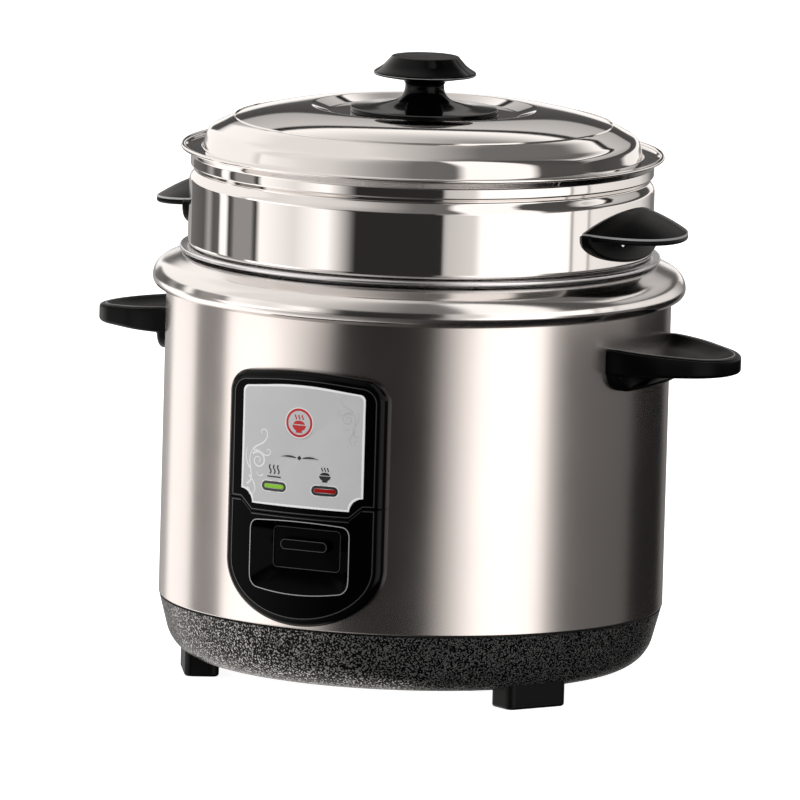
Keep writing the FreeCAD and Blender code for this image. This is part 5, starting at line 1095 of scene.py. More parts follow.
@dataclass(frozen=True)
class FrontPanel:
    """Gloss black panel in two halves, its label, lamps and switch key."""

    shell: float = 130.1
    face: float = 137.0
    half: float = 44.2
    bottom: float = 42.9
    top: float = 175.2
    arch: float = 4.5
    corner: float = 12.0
    bow: float = 32.0
    edge: float = 3.6
    seam_edge: float = 0.7
    split: float = 106.3
    seam_gap: float = 0.3
    dip: float = 6.1
    rim: float = 0.12
    notch: float = 7.0
    line_width: float = 0.45
    fine_line: float = 0.35
    label_half: float = 34.4
    label: tuple[float, float] = (104.2, 168.2)
    label_middle: tuple[float, float] = (0.0, 135.8)
    label_arch: float = 4.0
    label_corner: float = 3.2
    label_sunk: float = 0.25
    funnel_middle: tuple[float, float] = (0.0, 80.3)
    funnel_depth: float = 12.0
    mouth_half: float = 30.8
    mouth: tuple[float, float] = (59.4, 97.1)
    mouth_corner: float = 5.0
    throat_half: float = 18.75
    throat: tuple[float, float] = (71.1, 92.1)
    throat_corner: float = 2.5
    lens_level: float = 114.0
    lens_spacing: float = 28.6
    lens_half: float = 5.9
    lens_tall: float = 1.25
    lens_depth: float = 5.6

    def build(self) -> None:
        """Build every piece of the panel."""
        self.upper()
        self.lower()
        self.label_plate()
        self.lens(-1, "green_lens", LENS_GREEN, "lens_warm")
        self.lens(1, "red_lens", LENS_RED, "lens_cook")
        self.key()
        LabelPrint().build()

    def label_outline(self, grow: float) -> np.ndarray:
        """Label outline: arched top, hollow lower corners.

        Args:
            grow: Distance outside the label.

        Returns:
            Closed outline, shape (n, 2).
        """
        half, low, high = self.label_half + grow, self.label[0] - grow, self.label[1] + grow
        bend, spring = 0.5 * half ** 2 / self.label_arch, high - self.label_arch
        top = rounded_path([(half, low + 20, 0), (half, spring, self.label_corner), (0, high, bend),
                            (-half, spring, self.label_corner), (-half, low + 20, 0)], False, 14)
        turn = np.linspace(QUARTER, 0, 10)
        notch = self.notch - grow
        left = np.column_stack([-half + notch * np.cos(turn), low + notch * np.sin(turn)])
        return np.vstack([top, left, left[::-1] * np.array([-1, 1])])

    def upper(self) -> None:
        """Upper half: rounded outer edge, face on the cylinder, label pocket, and a painted highlight band along the
        inner end of the edge.

        Rings run from the back edge over a quarter circle to the face, along the face to the pocket, and in.
        """
        bend = 0.5 * self.half ** 2 / self.arch
        half, line, dip = self.half, self.split, self.split - self.dip
        step, foot = self.label_half, self.label_half - self.notch
        corners = [(-half, line, 0), (-step, line, 0), (-foot, dip, 0), (foot, dip, 0), (step, line, 0),
                   (half, line, 0), (half, self.top - self.arch, self.corner), (0, self.top, bend),
                   (-half, self.top - self.arch, self.corner)]
        outline = rounded_path(corners, True, 14)
        centre = self.label_middle
        pocket = self.label_outline(0.15)
        angles = shared_angles([outline, pocket], centre, 180)
        outer = at_angles(outline, centre, angles)
        inner = at_angles(pocket, centre, angles)
        rings = self.edge_rings(outer, centre, outer[:, 1] < line + 0.01)
        face = self.round_edge("panel_upper_edge", rings)
        plane = self.face - self.rim
        rings = [on_cylinder(face + share * (inner - face), plane) for share in (0.0, 0.3, 0.65, 0.93, 1.0)]
        rings = [on_cylinder(face, plane - 0.6)] + rings + [on_cylinder(inner, self.face - 1.2)]
        surface = Surface().loft(np.array(rings), start_cap=True, end_cap=True)
        surface.piece("panel_upper", PANEL_BLACK, ROOT, ["panel_frame"], crease=32.0)
        self.line("panel_upper_line", face, self.line_width, plane, FAINT_PAINTED_HIGHLIGHT)

    def round_edge(self, name: str, rings: list[np.ndarray]) -> np.ndarray:
        """Build the rounded edge of one half as a closed band.

        Args:
            name: Name of the piece.
            rings: Rings from the shell over the edge to the face.

        Returns:
            Inner outline of the edge, where the face begins, shape (n, 2).
        """
        face = rings[-1][:, [0, 2]]
        band = np.array(rings + [on_cylinder(face, self.face - 1.0)])
        Surface().loft(band, looped=True).piece(name, PANEL_EDGE, ROOT, crease=40.0)
        return face

    @staticmethod
    def line(name: str, outline: np.ndarray, width: float, level: float, finish: Finish) -> None:
        """Draw a painted highlight along an edge: a fine pale closed band on the face.

        Args:
            name: Name of the piece.
            outline: Outline that it follows, shape (n, 2).
            width: Width, inwards.
            level: Radius of the face.
            finish: Its material.
        """
        rings = [on_cylinder(path, level + lift) for path, lift in highlight_band_section(outline, width)]
        Surface().loft(np.array(rings), looped=True).piece(name, finish, ROOT)

    def edge_rings(self, outer: np.ndarray, centre: tuple[float, float], seam: np.ndarray) -> list[np.ndarray]:
        """Rings from the shell up the panel's side and over its rounded edge.

        The edge is a quarter circle: edge (1 - cos t) towards the middle, depth short by edge (1 - sin t). Along the
        seam between the halves only a fine edge is broken, but its ends follow the round of the sides.

        Args:
            outer: Outline, shape (n, 2).
            centre: Middle that the inset points to.
            seam: Mask of the points on the seam.

        Returns:
            Rings of shape (n, 3).
        """
        normal = path_normals(outer, True)
        toward = np.array(centre) - outer
        normal *= np.sign((normal * toward).sum(1))[:, None]
        rise = np.sign(toward[:, 1])
        rings = [on_cylinder(outer, self.shell)]
        for inset, short in quarter_round(1.0, 8):
            limit = self.half - self.edge * inset
            level = outer[:, 1] + self.seam_edge * inset * rise
            cut = np.column_stack([np.clip(outer[:, 0], -limit, limit), level])
            moved = np.where(seam[:, None], cut, outer + self.edge * inset * normal)
            across = np.clip(np.abs(cut[:, 0]) - self.half + self.edge, 0, self.edge)
            round_drop = self.edge - np.sqrt(self.edge ** 2 - across ** 2)
            drop = np.where(seam, np.maximum(round_drop, self.seam_edge * short), self.edge * short)
            rings.append(on_cylinder(moved, self.face - drop))
        for beyond, sunk in ((0.3, 0.0), (0.45, 0.5), (0.6, 1.0)):
            inset = np.where(seam, self.seam_edge + 0.2 * beyond, self.edge + beyond)
            limit = self.half - self.edge - beyond
            cut = np.column_stack([np.clip(outer[:, 0], -limit, limit), outer[:, 1] + inset * rise])
            moved = np.where(seam[:, None], cut, outer + inset[:, None] * normal)
            rings.append(on_cylinder(moved, self.face - self.rim * sunk))
        return rings

    def lower(self) -> None:
        """Lower half: half an ellipse below, rounded edge, face, and the funnel down to the key's opening, with painted
        highlight bands along the edge, round the funnel's mouth and round the throat.

        The funnel runs straight from a rounded rectangle at the face plane to a smaller one behind it; where its
        lines cross the curved face is found by repeated substitution.
        """
        half, line = self.half, self.split - self.seam_gap
        dip = line - self.dip
        step, foot = self.label_half, self.label_half - self.notch
        turn = np.linspace(math.pi, FULL_TURN, 64)
        bowed = np.column_stack([half * np.cos(turn), self.bottom + self.bow * (1 + np.sin(turn))])
        corners = [(half, line), (step, line), (foot, dip), (-foot, dip), (-step, line), (-half, line)]
        outline = np.vstack([bowed, np.array(corners)])
        centre, plane, bottom = self.funnel_middle, self.face - self.rim, self.funnel_depth - self.face
        mouth = rounded_box((-self.mouth_half, self.mouth_half), self.mouth, self.mouth_corner, 10)
        throat = rounded_box((-self.throat_half, self.throat_half), self.throat, self.throat_corner, 10)
        outer = divided(outline, 1.0, True)
        angles = self.rising_angles(outer, centre)
        wide, narrow = (at_angles(path, centre, angles) for path in (mouth, throat))
        seam = np.interp(np.abs(outer[:, 0]), [foot, step], [dip, line])
        rings = self.edge_rings(outer, centre, outer[:, 1] > seam - 0.01)
        face = self.round_edge("panel_lower_edge", rings)
        share = np.zeros(len(angles))
        for _ in range(12):
            crossing = wide + share[:, None] * (narrow - wide)
            share = (self.face - np.sqrt(plane ** 2 - crossing[:, 0] ** 2)) / self.funnel_depth
        lip = crossing + 0.7 * unit(crossing - np.array(centre))
        rings = [on_cylinder(face, plane - 0.6)]
        rings += [on_cylinder(face + part * (lip - face), plane) for part in (0.0, 0.35, 0.8)]

        def wall(extra: float) -> np.ndarray:
            """Ring on the funnel's wall.

            Args:
                extra: Share of the way from the face to the throat.

            Returns:
                Points of shape (n, 3).
            """
            depth = share + extra * (1 - share)
            spot = wide + depth[:, None] * (narrow - wide)
            return np.column_stack([spot[:, 0], -self.face + self.funnel_depth * depth, spot[:, 1]])

        start, corner, end = on_cylinder(lip, plane), on_cylinder(crossing, plane), wall(0.06)
        rings += [(1 - t) ** 2 * start + 2 * t * (1 - t) * corner + t * t * end for t in np.linspace(0, 1, 7)]
        rings += [wall(extra) for extra in (0.2, 0.5, 0.9, 1.0)]
        behind = narrow + 3.0 * unit(narrow - np.array(centre))
        rings.append(np.column_stack([behind[:, 0], bottom + 0.05 + 0 * behind[:, 0], behind[:, 1]]))
        surface = Surface().loft(np.array(rings), looped=True)
        surface.piece("panel_switch_half", PANEL_BLACK, ROOT, ["panel_lower"], crease=32.0)
        # Painted highlights: pale bands along the face's edge, the throat and the funnel's mouth.
        self.line("panel_lower_line", face, self.line_width, plane, FAINT_PAINTED_HIGHLIGHT)
        throat_edge = throat + 0.3 * unit(throat - throat.mean(0))
        self.flat_line("throat_line", throat_edge, self.fine_line, bottom - 0.1, ROOT)
        even = np.linspace(-math.pi, math.pi, 240, endpoint=False)
        mouth_edge = at_angles(crossing + 0.3 * unit(crossing - np.array(centre)), centre, even)
        self.line("funnel_line", mouth_edge, self.line_width, plane, PAINTED_EDGE_HIGHLIGHT)

    @staticmethod
    def rising_angles(outline: np.ndarray, centre: tuple[float, float]) -> np.ndarray:
        """Angles of an outline's points about a centre, made to rise all the way round.

        Where the outline turns back on itself, the angle of the furthest point so far is kept, plus a trace.

        Args:
            outline: Points, shape (n, 2).
            centre: Point that the angles are taken about.

        Returns:
            Angles from -pi to pi, one per point.
        """
        offset = outline - np.array(centre)
        theta = np.unwrap(np.arctan2(offset[:, 1], offset[:, 0]))
        theta = np.maximum.accumulate(theta) + 1e-5 * np.arange(len(theta))
        return np.angle(np.exp(1j * theta))

    def label_plate(self) -> None:
        """Printed plate in its pocket; a border attribute is 1 along its edge and 0 inside."""
        centre = self.label_middle
        outline = self.label_outline(0.0)
        angles = shared_angles([outline], centre, 160)
        rim = at_angles(outline, centre, angles)
        front = self.face - self.label_sunk
        rings = [on_cylinder(rim, front - 0.8), on_cylinder(rim, front - 0.15)]
        border = [1.0, 1.0]
        for inset, mark in ((0.15, 1.0), (1.2, 1.0), (1.35, 0.0), (6.0, 0.0), (14.0, 0.0), (24.0, 0.0)):
            moved = rim + inset * unit(np.array(centre) - rim)
            rings.append(on_cylinder(moved, front))
            border.append(mark)
        surface = Surface().loft(np.array(rings), start_cap=True, end_cap=True)
        plate = surface.piece("label", LABEL_SILVER, ROOT, ["label_plate"], crease=32.0)
        marks = np.repeat(np.array(border), len(angles))
        values = np.zeros(len(plate.data.vertices), np.float32)
        values[:len(marks)] = marks
        plate.data.attributes.new("border", "FLOAT", "POINT").data.foreach_set("value", values)

    def capsule(self, side: int, half: float, tall: float) -> np.ndarray:
        """Capsule outline round a lamp, as (x, z) points, from its two half sizes."""
        middle, level = side * self.lens_spacing / 2, self.lens_level
        return rounded_box((middle - half, middle + half), (level - tall, level + tall), tall - 0.02, 12)

    def lens(self, side: int, name: str, finish: Finish, node: str) -> None:
        """Domed lens, with a dark bezel and a white halo printed round it.

        Args:
            side: -1 for the left lens, 1 for the right.
            name: Name of the piece.
            finish: Its material.
            node: CAD node that it stands for.
        """
        half, tall = self.lens_half, self.lens_tall
        rings = [on_cylinder(self.capsule(side, half, tall), self.face - self.lens_depth)]
        for turn in np.linspace(0, QUARTER, 6):
            inset = 0.9 * (1 - math.cos(turn))
            dome = self.capsule(side, half - inset, tall - inset)
            rings.append(on_cylinder(dome, self.face - 0.55 + 0.53 * math.sin(turn)))
        Surface().loft(np.array(rings), start_cap=True, end_cap=True).piece(name, finish, ROOT, [node])
        for word, grow, thick, ink in (("halo", 1.75, 0.05, LABEL_WHITE), ("bezel", 1.25, 0.12, LABEL_INK)):
            outer, inner = (self.capsule(side, half + more, tall + more) for more in (grow, -0.05))
            level = self.face - self.label_sunk
            band = [on_cylinder(path, level + lift) for path, lift in
                    ((inner, -0.1), (inner, thick), (outer, thick), (outer, -0.1))]
            Surface().loft(np.array(band), looped=True).piece(f"{name}_{word}", ink, ROOT)

    def key(self) -> None:
        """Switch key: a plate behind the opening, a rounded finger bar, and the tail inside; a pale band round the
        bar's front is a painted highlight.
        """
        surface = Surface()
        for sizes in KEY_SLABS:
            surface.loft(self.slab(*sizes), start_cap=True, end_cap=True)
        surface.piece("switch_key_bar", PANEL_BLACK, "switch_key", ["switch_key"])
        width, low, high, _, front, _ = KEY_SLABS[1]
        edge = width / 2 - 0.5
        bar = rounded_box((-edge, edge), (low + 0.35, high - 0.35), 2.4, 8)
        self.flat_line("switch_key_line", bar, self.fine_line, front, "switch_key")

    @staticmethod
    def flat_line(name: str, outline: np.ndarray, width: float, front: float, body: str) -> None:
        """Draw a painted highlight along an edge that lies in an upright plane: a fine pale band.

        Args:
            name: Name of the piece.
            outline: Outline that it follows, shape (n, 2).
            width: Width, inwards.
            front: Y of the plane.
            body: CAD body that it rides on.
        """
        rings = [np.column_stack([path[:, 0], front - lift + 0 * path[:, 0], path[:, 1]])
                 for path, lift in highlight_band_section(outline, width)]
        Surface().loft(np.array(rings), looped=True).piece(name, FAINT_PAINTED_HIGHLIGHT, body)

    @staticmethod
    def slab(width: float, low: float, high: float, back: float, front: float, soft: float) -> np.ndarray:
        """Upright slab with rounded corners and a rounded front edge.

        Args:
            width: Size along X.
            low: Lowest point.
            high: Highest point.
            back: Y of its back.
            front: Y of its front.
            soft: Radius of the front edge.

        Returns:
            Rings of shape (k, n, 3).
        """
        middle = (low + high) / 2
        rings = []
        steps = [(0.0, back)] + [(inset, front + short) for inset, short in quarter_round(soft, 7)]
        for inset, depth in steps:
            half, tall = width / 2 - inset, (high - low) / 2 - inset
            path = rounded_box((-half, half), (middle - tall, middle + tall), min(2.8, 0.9 * tall), 6)
            rings.append(np.column_stack([path[:, 0], depth + 0 * path[:, 0], path[:, 1]]))
        return np.array(rings)


def bezier(points: Sequence[tuple[float, float]], steps: int = 28) -> np.ndarray:
    """Cubic curve through its first and last point, drawn towards the two between them.

    Args:
        points: The four points.
        steps: Points along it.

    Returns:
        Points of shape (steps, 2).
    """
    share = np.linspace(0, 1, steps)[:, None]
    first, second, third, last = np.array(points, float)
    return ((1 - share) ** 3 * first + 3 * share * (1 - share) ** 2 * second + 3 * share ** 2 * (1 - share) * third
            + share ** 3 * last)


def curl(centre: tuple[float, float], radius: float, start: float, turns: float, steps: int = 60) -> np.ndarray:
    """Spiral that winds in: radius (1 - 0.85 s), angle start + turns s, with s from 0 to 1.

    Args:
        centre: Its middle.
        radius: Its first radius.
        start: First angle in degrees.
        turns: Turns to the middle, negative for clockwise.
        steps: Points.

    Returns:
        Points of shape (steps, 2).
    """
    share = np.linspace(0, 1, steps)
    angle = math.radians(start) + FULL_TURN * turns * share
    reach = radius * (1 - 0.85 * share)
    return np.array(centre) + reach[:, None] * np.column_stack([np.cos(angle), np.sin(angle)])


@dataclass(frozen=True)
class LabelPrint:
    """Print on the label: a rice bowl in a ring, a sign over each lamp, a divider and scroll ornament."""

    front: float = 136.75
    emblem: tuple[float, float] = (-0.6, 147.8)
    ring: float = 7.4
    divider: float = 129.8
    sign_level: float = 121.8
    sign_spacing: float = 28.6
    sunk: float = 0.08

    def build(self) -> None:
        """Print everything."""
        self.round_emblem()
        self.signs()
        self.scrolls()

    def strip(self, surface: Surface, path: np.ndarray, width: np.ndarray | float, lift: float = 0.04) -> None:
        """Print one line.

        Args:
            surface: Surface that it goes to.
            path: Its middle, shape (n, 2).
            width: Its width, one or per point.
            lift: Height over the plate.
        """
        side = path_normals(path, False) * (np.broadcast_to(width, len(path)) / 2)[:, None]
        low, high = self.front - self.sunk, self.front + lift
        corners = [on_cylinder(path + side, low), on_cylinder(path + side, high), on_cylinder(path - side, high),
                   on_cylinder(path - side, low)]
        surface.loft(np.stack(corners, axis=1), start_cap=True, end_cap=True)

    def patch(self, surface: Surface, outline: np.ndarray, lift: float = 0.04) -> None:
        """Print one filled shape, whose outline its middle can see."""
        rings = [on_cylinder(outline, self.front - self.sunk), on_cylinder(outline, self.front + lift)]
        surface.loft(np.array(rings), start_cap=True, end_cap=True)

    def band(self, surface: Surface, radius: float, width: float, lift: float) -> None:
        """Print a ring round the emblem's middle.

        Args:
            surface: Surface that it goes to.
            radius: Outer radius.
            width: Width, inwards.
            lift: Height over the plate.
        """
        turn = np.linspace(0, FULL_TURN, 72, endpoint=False)
        round_path = np.column_stack([np.cos(turn), np.sin(turn)])
        outer, inner = (np.array(self.emblem) + r * round_path for r in (radius, radius - width))
        low, high = self.front - self.sunk, self.front + lift
        rings = [on_cylinder(inner, low), on_cylinder(inner, high), on_cylinder(outer, high), on_cylinder(outer, low)]
        surface.loft(np.array(rings), looped=True)

    def bowl(self, surface: Surface, middle: tuple[float, float], size: float, lift: float = 0.05) -> None:
        """Print a bowl of rice with three wisps of steam.

        Args:
            surface: Surface that it goes to.
            middle: Middle of the bowl's rim.
            size: Half width of the rim.
            lift: Height over the plate.
        """
        spot = np.array(middle)
        turn = np.linspace(0, math.pi, 24)
        round_path = np.column_stack([np.cos(turn), np.sin(turn)])
        self.patch(surface, spot + size * round_path[::-1] * np.array([1, -0.82]), lift)
        self.patch(surface, spot + size * (round_path * np.array([0.84, 0.5]) + np.array([0, 0.12])), lift)
        self.strip(surface, spot + size * np.array([[-0.45, -0.9], [0, -0.9], [0.45, -0.9]]), 0.24 * size, lift)
        rise = np.linspace(0, 1, 16)
        for offset in (-0.5, 0.0, 0.5):
            wisp = np.column_stack([offset + 0.1 * np.sin(FULL_TURN * rise), 0.78 + 0.62 * rise])
            self.strip(surface, spot + size * wisp, 0.17 * size, lift)

    def round_emblem(self) -> None:
        """Red ring with the bowl, outlined in white."""
        halo, mark = Surface(), Surface()
        self.band(halo, self.ring + 0.55, 0.8, 0.02)
        self.band(mark, self.ring, 1.2, 0.04)
        self.bowl(mark, (self.emblem[0], self.emblem[1] - 1.2), 3.8)
        halo.piece("emblem_halo", LABEL_WHITE, ROOT)
        mark.piece("emblem", LABEL_RED, ROOT)

    def signs(self) -> None:
        """Black signs: a divider, heat waves over the left lamp and a bowl over the right one."""
        ink = Surface()
        along = np.linspace(0, 1, 24)
        for side in (-1, 1):
            path = np.column_stack([side * (1.9 + 8.6 * along), self.divider + 0.5 * np.sin(math.pi * along)])
            self.strip(ink, path, 0.15 + 0.75 * np.sin(math.pi * np.clip(along + 0.12, 0, 1)))
        diamond = np.array([(1.25, 0), (0, 1.25), (-1.25, 0), (0, -1.25)]) + np.array([0, self.divider])
        self.patch(ink, diamond)
        left = -self.sign_spacing / 2
        for offset in (-2.4, 0.0, 2.4):
            sway = left + offset + 0.5 * np.sin(FULL_TURN * along)
            self.strip(ink, np.column_stack([sway, self.sign_level - 1.4 + 4.6 * along]), 0.75)
        bar = np.array([[left - 4.0, 0], [left, 0], [left + 4.0, 0]]) + np.array([0, self.sign_level - 2.9])
        self.strip(ink, bar, 0.7)
        self.bowl(ink, (self.sign_spacing / 2, self.sign_level - 0.2), 3.1, 0.04)
        ink.piece("label_signs", LABEL_INK, ROOT)

    def scrolls(self) -> None:
        """White scroll ornament at the lower left and a fainter one at the upper right."""
        white, grey = Surface(), Surface()
        for path, width in self.scroll_paths():
            taper = np.linspace(1.0, 0.35, len(path))
            self.strip(white, path + np.array([1.5, 0.8]), width * taper, 0.03)
            self.strip(grey, path * np.array([-0.72, 0.72]) + np.array([7.2, 61.0]), 0.6 * width * taper, 0.03)
        white.piece("scroll_left", LABEL_WHITE, ROOT)
        grey.piece("scroll_right", LABEL_GREY, ROOT)

    @staticmethod
    def scroll_paths() -> list[tuple[np.ndarray, float]]:
        """Lines of the ornament: a stem, its curls and a few leaves.

        Returns:
            (path, width) of each line.
        """
        return [
            (bezier([(-32.5, 113.0), (-25.5, 116.0), (-34.5, 124.5), (-29.0, 131.0)]), 1.0),
            (np.vstack([bezier([(-29.0, 131.0), (-26.5, 134.2), (-21.5, 133.5), (-20.3, 139.0)]),
                        curl((-23.0, 140.0), 2.8, -20, 0.7)[1:]]), 0.85),
            (curl((-25.6, 125.6), 4.6, 140, -1.6), 0.95),
            (np.vstack([bezier([(-28.6, 130.6), (-24.0, 131.5), (-22.5, 127.5), (-19.4, 128.8)]),
                        curl((-19.9, 130.8), 2.0, -75, 0.75)[1:]]), 0.75),
            (bezier([(-31.2, 117.5), (-27.0, 113.5), (-26.0, 110.5), (-29.0, 107.5)]), 0.9),
            (bezier([(-33.0, 110.5), (-30.5, 112.0), (-30.0, 109.0), (-31.0, 106.8)]), 0.7),
            (bezier([(-30.6, 121.0), (-33.6, 124.5), (-33.8, 128.0), (-32.6, 131.5)]), 0.7),
            (bezier([(-22.5, 118.8), (-23.5, 117.0), (-25.8, 117.6), (-26.6, 119.6)]), 0.6),
        ]


# Pot, steamer and lid


@dataclass(frozen=True)
class Vessels:
    """The lift-out pot, the steamer with its handles, and the lid with its knob."""

    pot_floor: float = 69.8
    pot_rim: float = 221.8
    pot_radius: float = 117.3
    pot_round: float = 24.0
    pot_flange: float = 5.4
    pot_wall: float = 1.2
    sheet: float = 0.7
    floor_radius: float = 108.0
    insert: float = 115.4
    insert_depth: float = 12.0
    step: float = 222.1
    steamer: float = 119.7
    wall_height: float = 34.5
    groove: tuple[float, float] = (116.7, 261.0)
    neck: tuple[float, float, float] = (119.2, 263.6, 268.6)
    rim: tuple[float, float] = (123.2, 273.0)
    rim_bead: float = 1.2
    flange: float = 272.4
    flange_radius: float = 120.8
    lid_radius: float = 113.4
    side_top: float = 281.7
    shoulder: float = 287.7
    dome_radius: float = 79.3
    dome_round: float = 138.0
    crown: float = 295.7
    crown_radius: float = 58.0
    well: float = 292.7
    well_radius: float = 49.0
    vent: tuple[float, float] = (80.0, 4.2)
    bore: float = 2.55
    skirt_radius: float = 38.0
    stem: float = 10.0
    seam: float = 305.6
    disc: float = 312.2
    disc_radius: float = 26.3
    knob_top: float = 321.8
    top_radius: float = 17.2

    def build(self) -> None:
        """Build every vessel."""
        self.pot()
        self.basket()
        self.lid()
        self.knob()
        for side in Side:
            SteamerHandle(side).build()

    @staticmethod
    def bead(radius: float, thick: float, level: float) -> np.ndarray:
        """Section of a rolled edge: a small circle."""
        turn = np.linspace(0, FULL_TURN, 20, endpoint=False)
        return np.column_stack([radius + thick * np.cos(turn), level + thick * np.sin(turn)])

    def pot(self) -> None:
        """Spun pot with a rolled rim."""
        level, rim = self.pot_rim - self.pot_wall, self.pot_radius + self.pot_flange
        section = sheet_section([(0.5, self.pot_floor, 0), (self.pot_radius, self.pot_floor, self.pot_round),
                                 (self.pot_radius, level, 1.6), (rim, level, 0)], self.pot_wall)
        surface = Surface().loft(turned(section), looped=True)
        surface.loft(turned(self.bead(rim, 1.1, self.pot_rim - 1.1)), looped=True)
        surface.piece("spun_pot", POT_ALUMINIUM, "inner_pot", ["inner_pot"])

    def basket(self) -> None:
        """Steamer wall: insert, step, straight wall, groove, neck and rolled rim; and its pierced floor."""
        floor = self.step - self.insert_depth
        section = sheet_section([
            (self.floor_radius, floor, 0), (self.insert, floor, 2.5), (self.insert, self.step, 1.0),
            (self.steamer, self.step, 2.0), (self.steamer, self.step + self.wall_height, 5.0), (*self.groove, 1.0),
            (self.neck[0], self.neck[1], 1.5), (self.neck[0], self.neck[2], 1.5), (*self.rim, 0),
        ], self.sheet, 1.5)
        surface = Surface().loft(turned(section), looped=True)
        surface.loft(turned(self.bead(self.rim[0], self.rim_bead, self.rim[1])), looped=True)
        surface.piece("steamer_wall", POLISHED_STEEL, "steamer", ["steamer_basket"])
        pierced_floor(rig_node("steamer_basket"), self.floor_radius + 6.2, floor + 0.9)

    def lid(self) -> None:
        """Pressed lid: flange, side, shoulder, shallow dome and dished middle."""
        shoulder = self.lid_radius - 2.6
        section = sheet_section([
            (self.flange_radius, self.flange, 0), (self.lid_radius, self.flange, 1.0), (shoulder, self.side_top, 7),
            (shoulder - 11.5, self.shoulder, 30), (self.dome_radius, self.crown - 1.1, self.dome_round),
            (self.crown_radius, self.crown, 4), (self.well_radius, self.well, 4), (self.bore + 0.05, self.well, 0),
        ], self.sheet, 1.2)
        Surface().loft(turned(section), looped=True).piece("lid_dome", POLISHED_STEEL, "lid", ["lid_shell"])
        self.steam_vent()

    def steam_vent(self) -> None:
        """Eyelet of the steam vent at the lid's rear: a small ring with a dark disc in its middle, painted shade that
        stands in for the open hole.
        """
        place = np.array([0, self.vent[0], self.crown - self.vent[1]])
        eyelet = turned(self.bead(2.5, 0.55, 0.0), 32)
        Surface().loft(eyelet + place, looped=True).piece("vent_eyelet", POLISHED_STEEL, "lid")
        # Painted shade: a dark disc where the open vent hole would look dark.
        dark = turned(np.array([[2.4, 0.25], [2.4, -0.3], [0.3, -0.3]]), 32)
        Surface().loft(dark + place, start_cap=True, end_cap=True).piece("vent_hole", INNER_PLASTIC, "lid")

    def knob(self) -> None:
        """Skirt, stem, thin-edged disc and raised top, each turned from a rounded section; thin pale rings at the
        disc's edge, the top's rim and the skirt's rim are painted highlights.
        """
        self.turned_black("knob_skirt", "knob_base", [
            (self.bore, self.well, 0), (self.skirt_radius, self.well, 0.8), (self.skirt_radius, self.well + 2.6, 1.0),
            (24.0, self.well + 3.9, 60), (self.stem, self.well + 7.5, 8), (self.stem, self.seam, 0.4),
            (self.bore, self.seam, 0),
        ])
        self.turned_black("knob_grip", "knob", [
            (self.bore, self.seam, 0), (self.stem, self.seam, 0.4), (self.stem, self.disc - 3.0, 3.0),
            (self.disc_radius, self.disc, 0.6), (self.disc_radius, self.disc + 1.6, 0.6), (21.7, self.disc + 4.5, 14),
            (self.top_radius, self.knob_top, 0.8), (0.4, self.knob_top, 0), (0.4, self.well + 18, 0),
            (self.bore, self.well + 18, 0),
        ])
        # Painted highlights: thin pale rings at the edges that catch the light.
        for word, radius, level, finish in (("edge", self.disc_radius - 0.28, self.disc + 0.75, PAINTED_EDGE_HIGHLIGHT),
                                            ("top", self.top_radius - 0.3, self.knob_top - 0.36, FAINT_PAINTED_HIGHLIGHT),
                                            ("skirt", self.skirt_radius - 0.45, self.well + 2.3, FAINT_PAINTED_HIGHLIGHT)):
            line = turned(self.bead(radius, 0.32, level), KNOB_SEGMENTS)
            Surface().loft(line, looped=True).piece(f"knob_{word}_line", finish, "lid")

    @staticmethod
    def turned_black(name: str, node: str, corners: Sequence[Corner]) -> None:
        """Turn one black piece of the knob from the corners of its closed section."""
        section = divided(rounded_path(corners, True, 10), 1.5, True)
        Surface().loft(turned(section, KNOB_SEGMENTS), looped=True).piece(name, GLOSS_BLACK, "lid", [node])


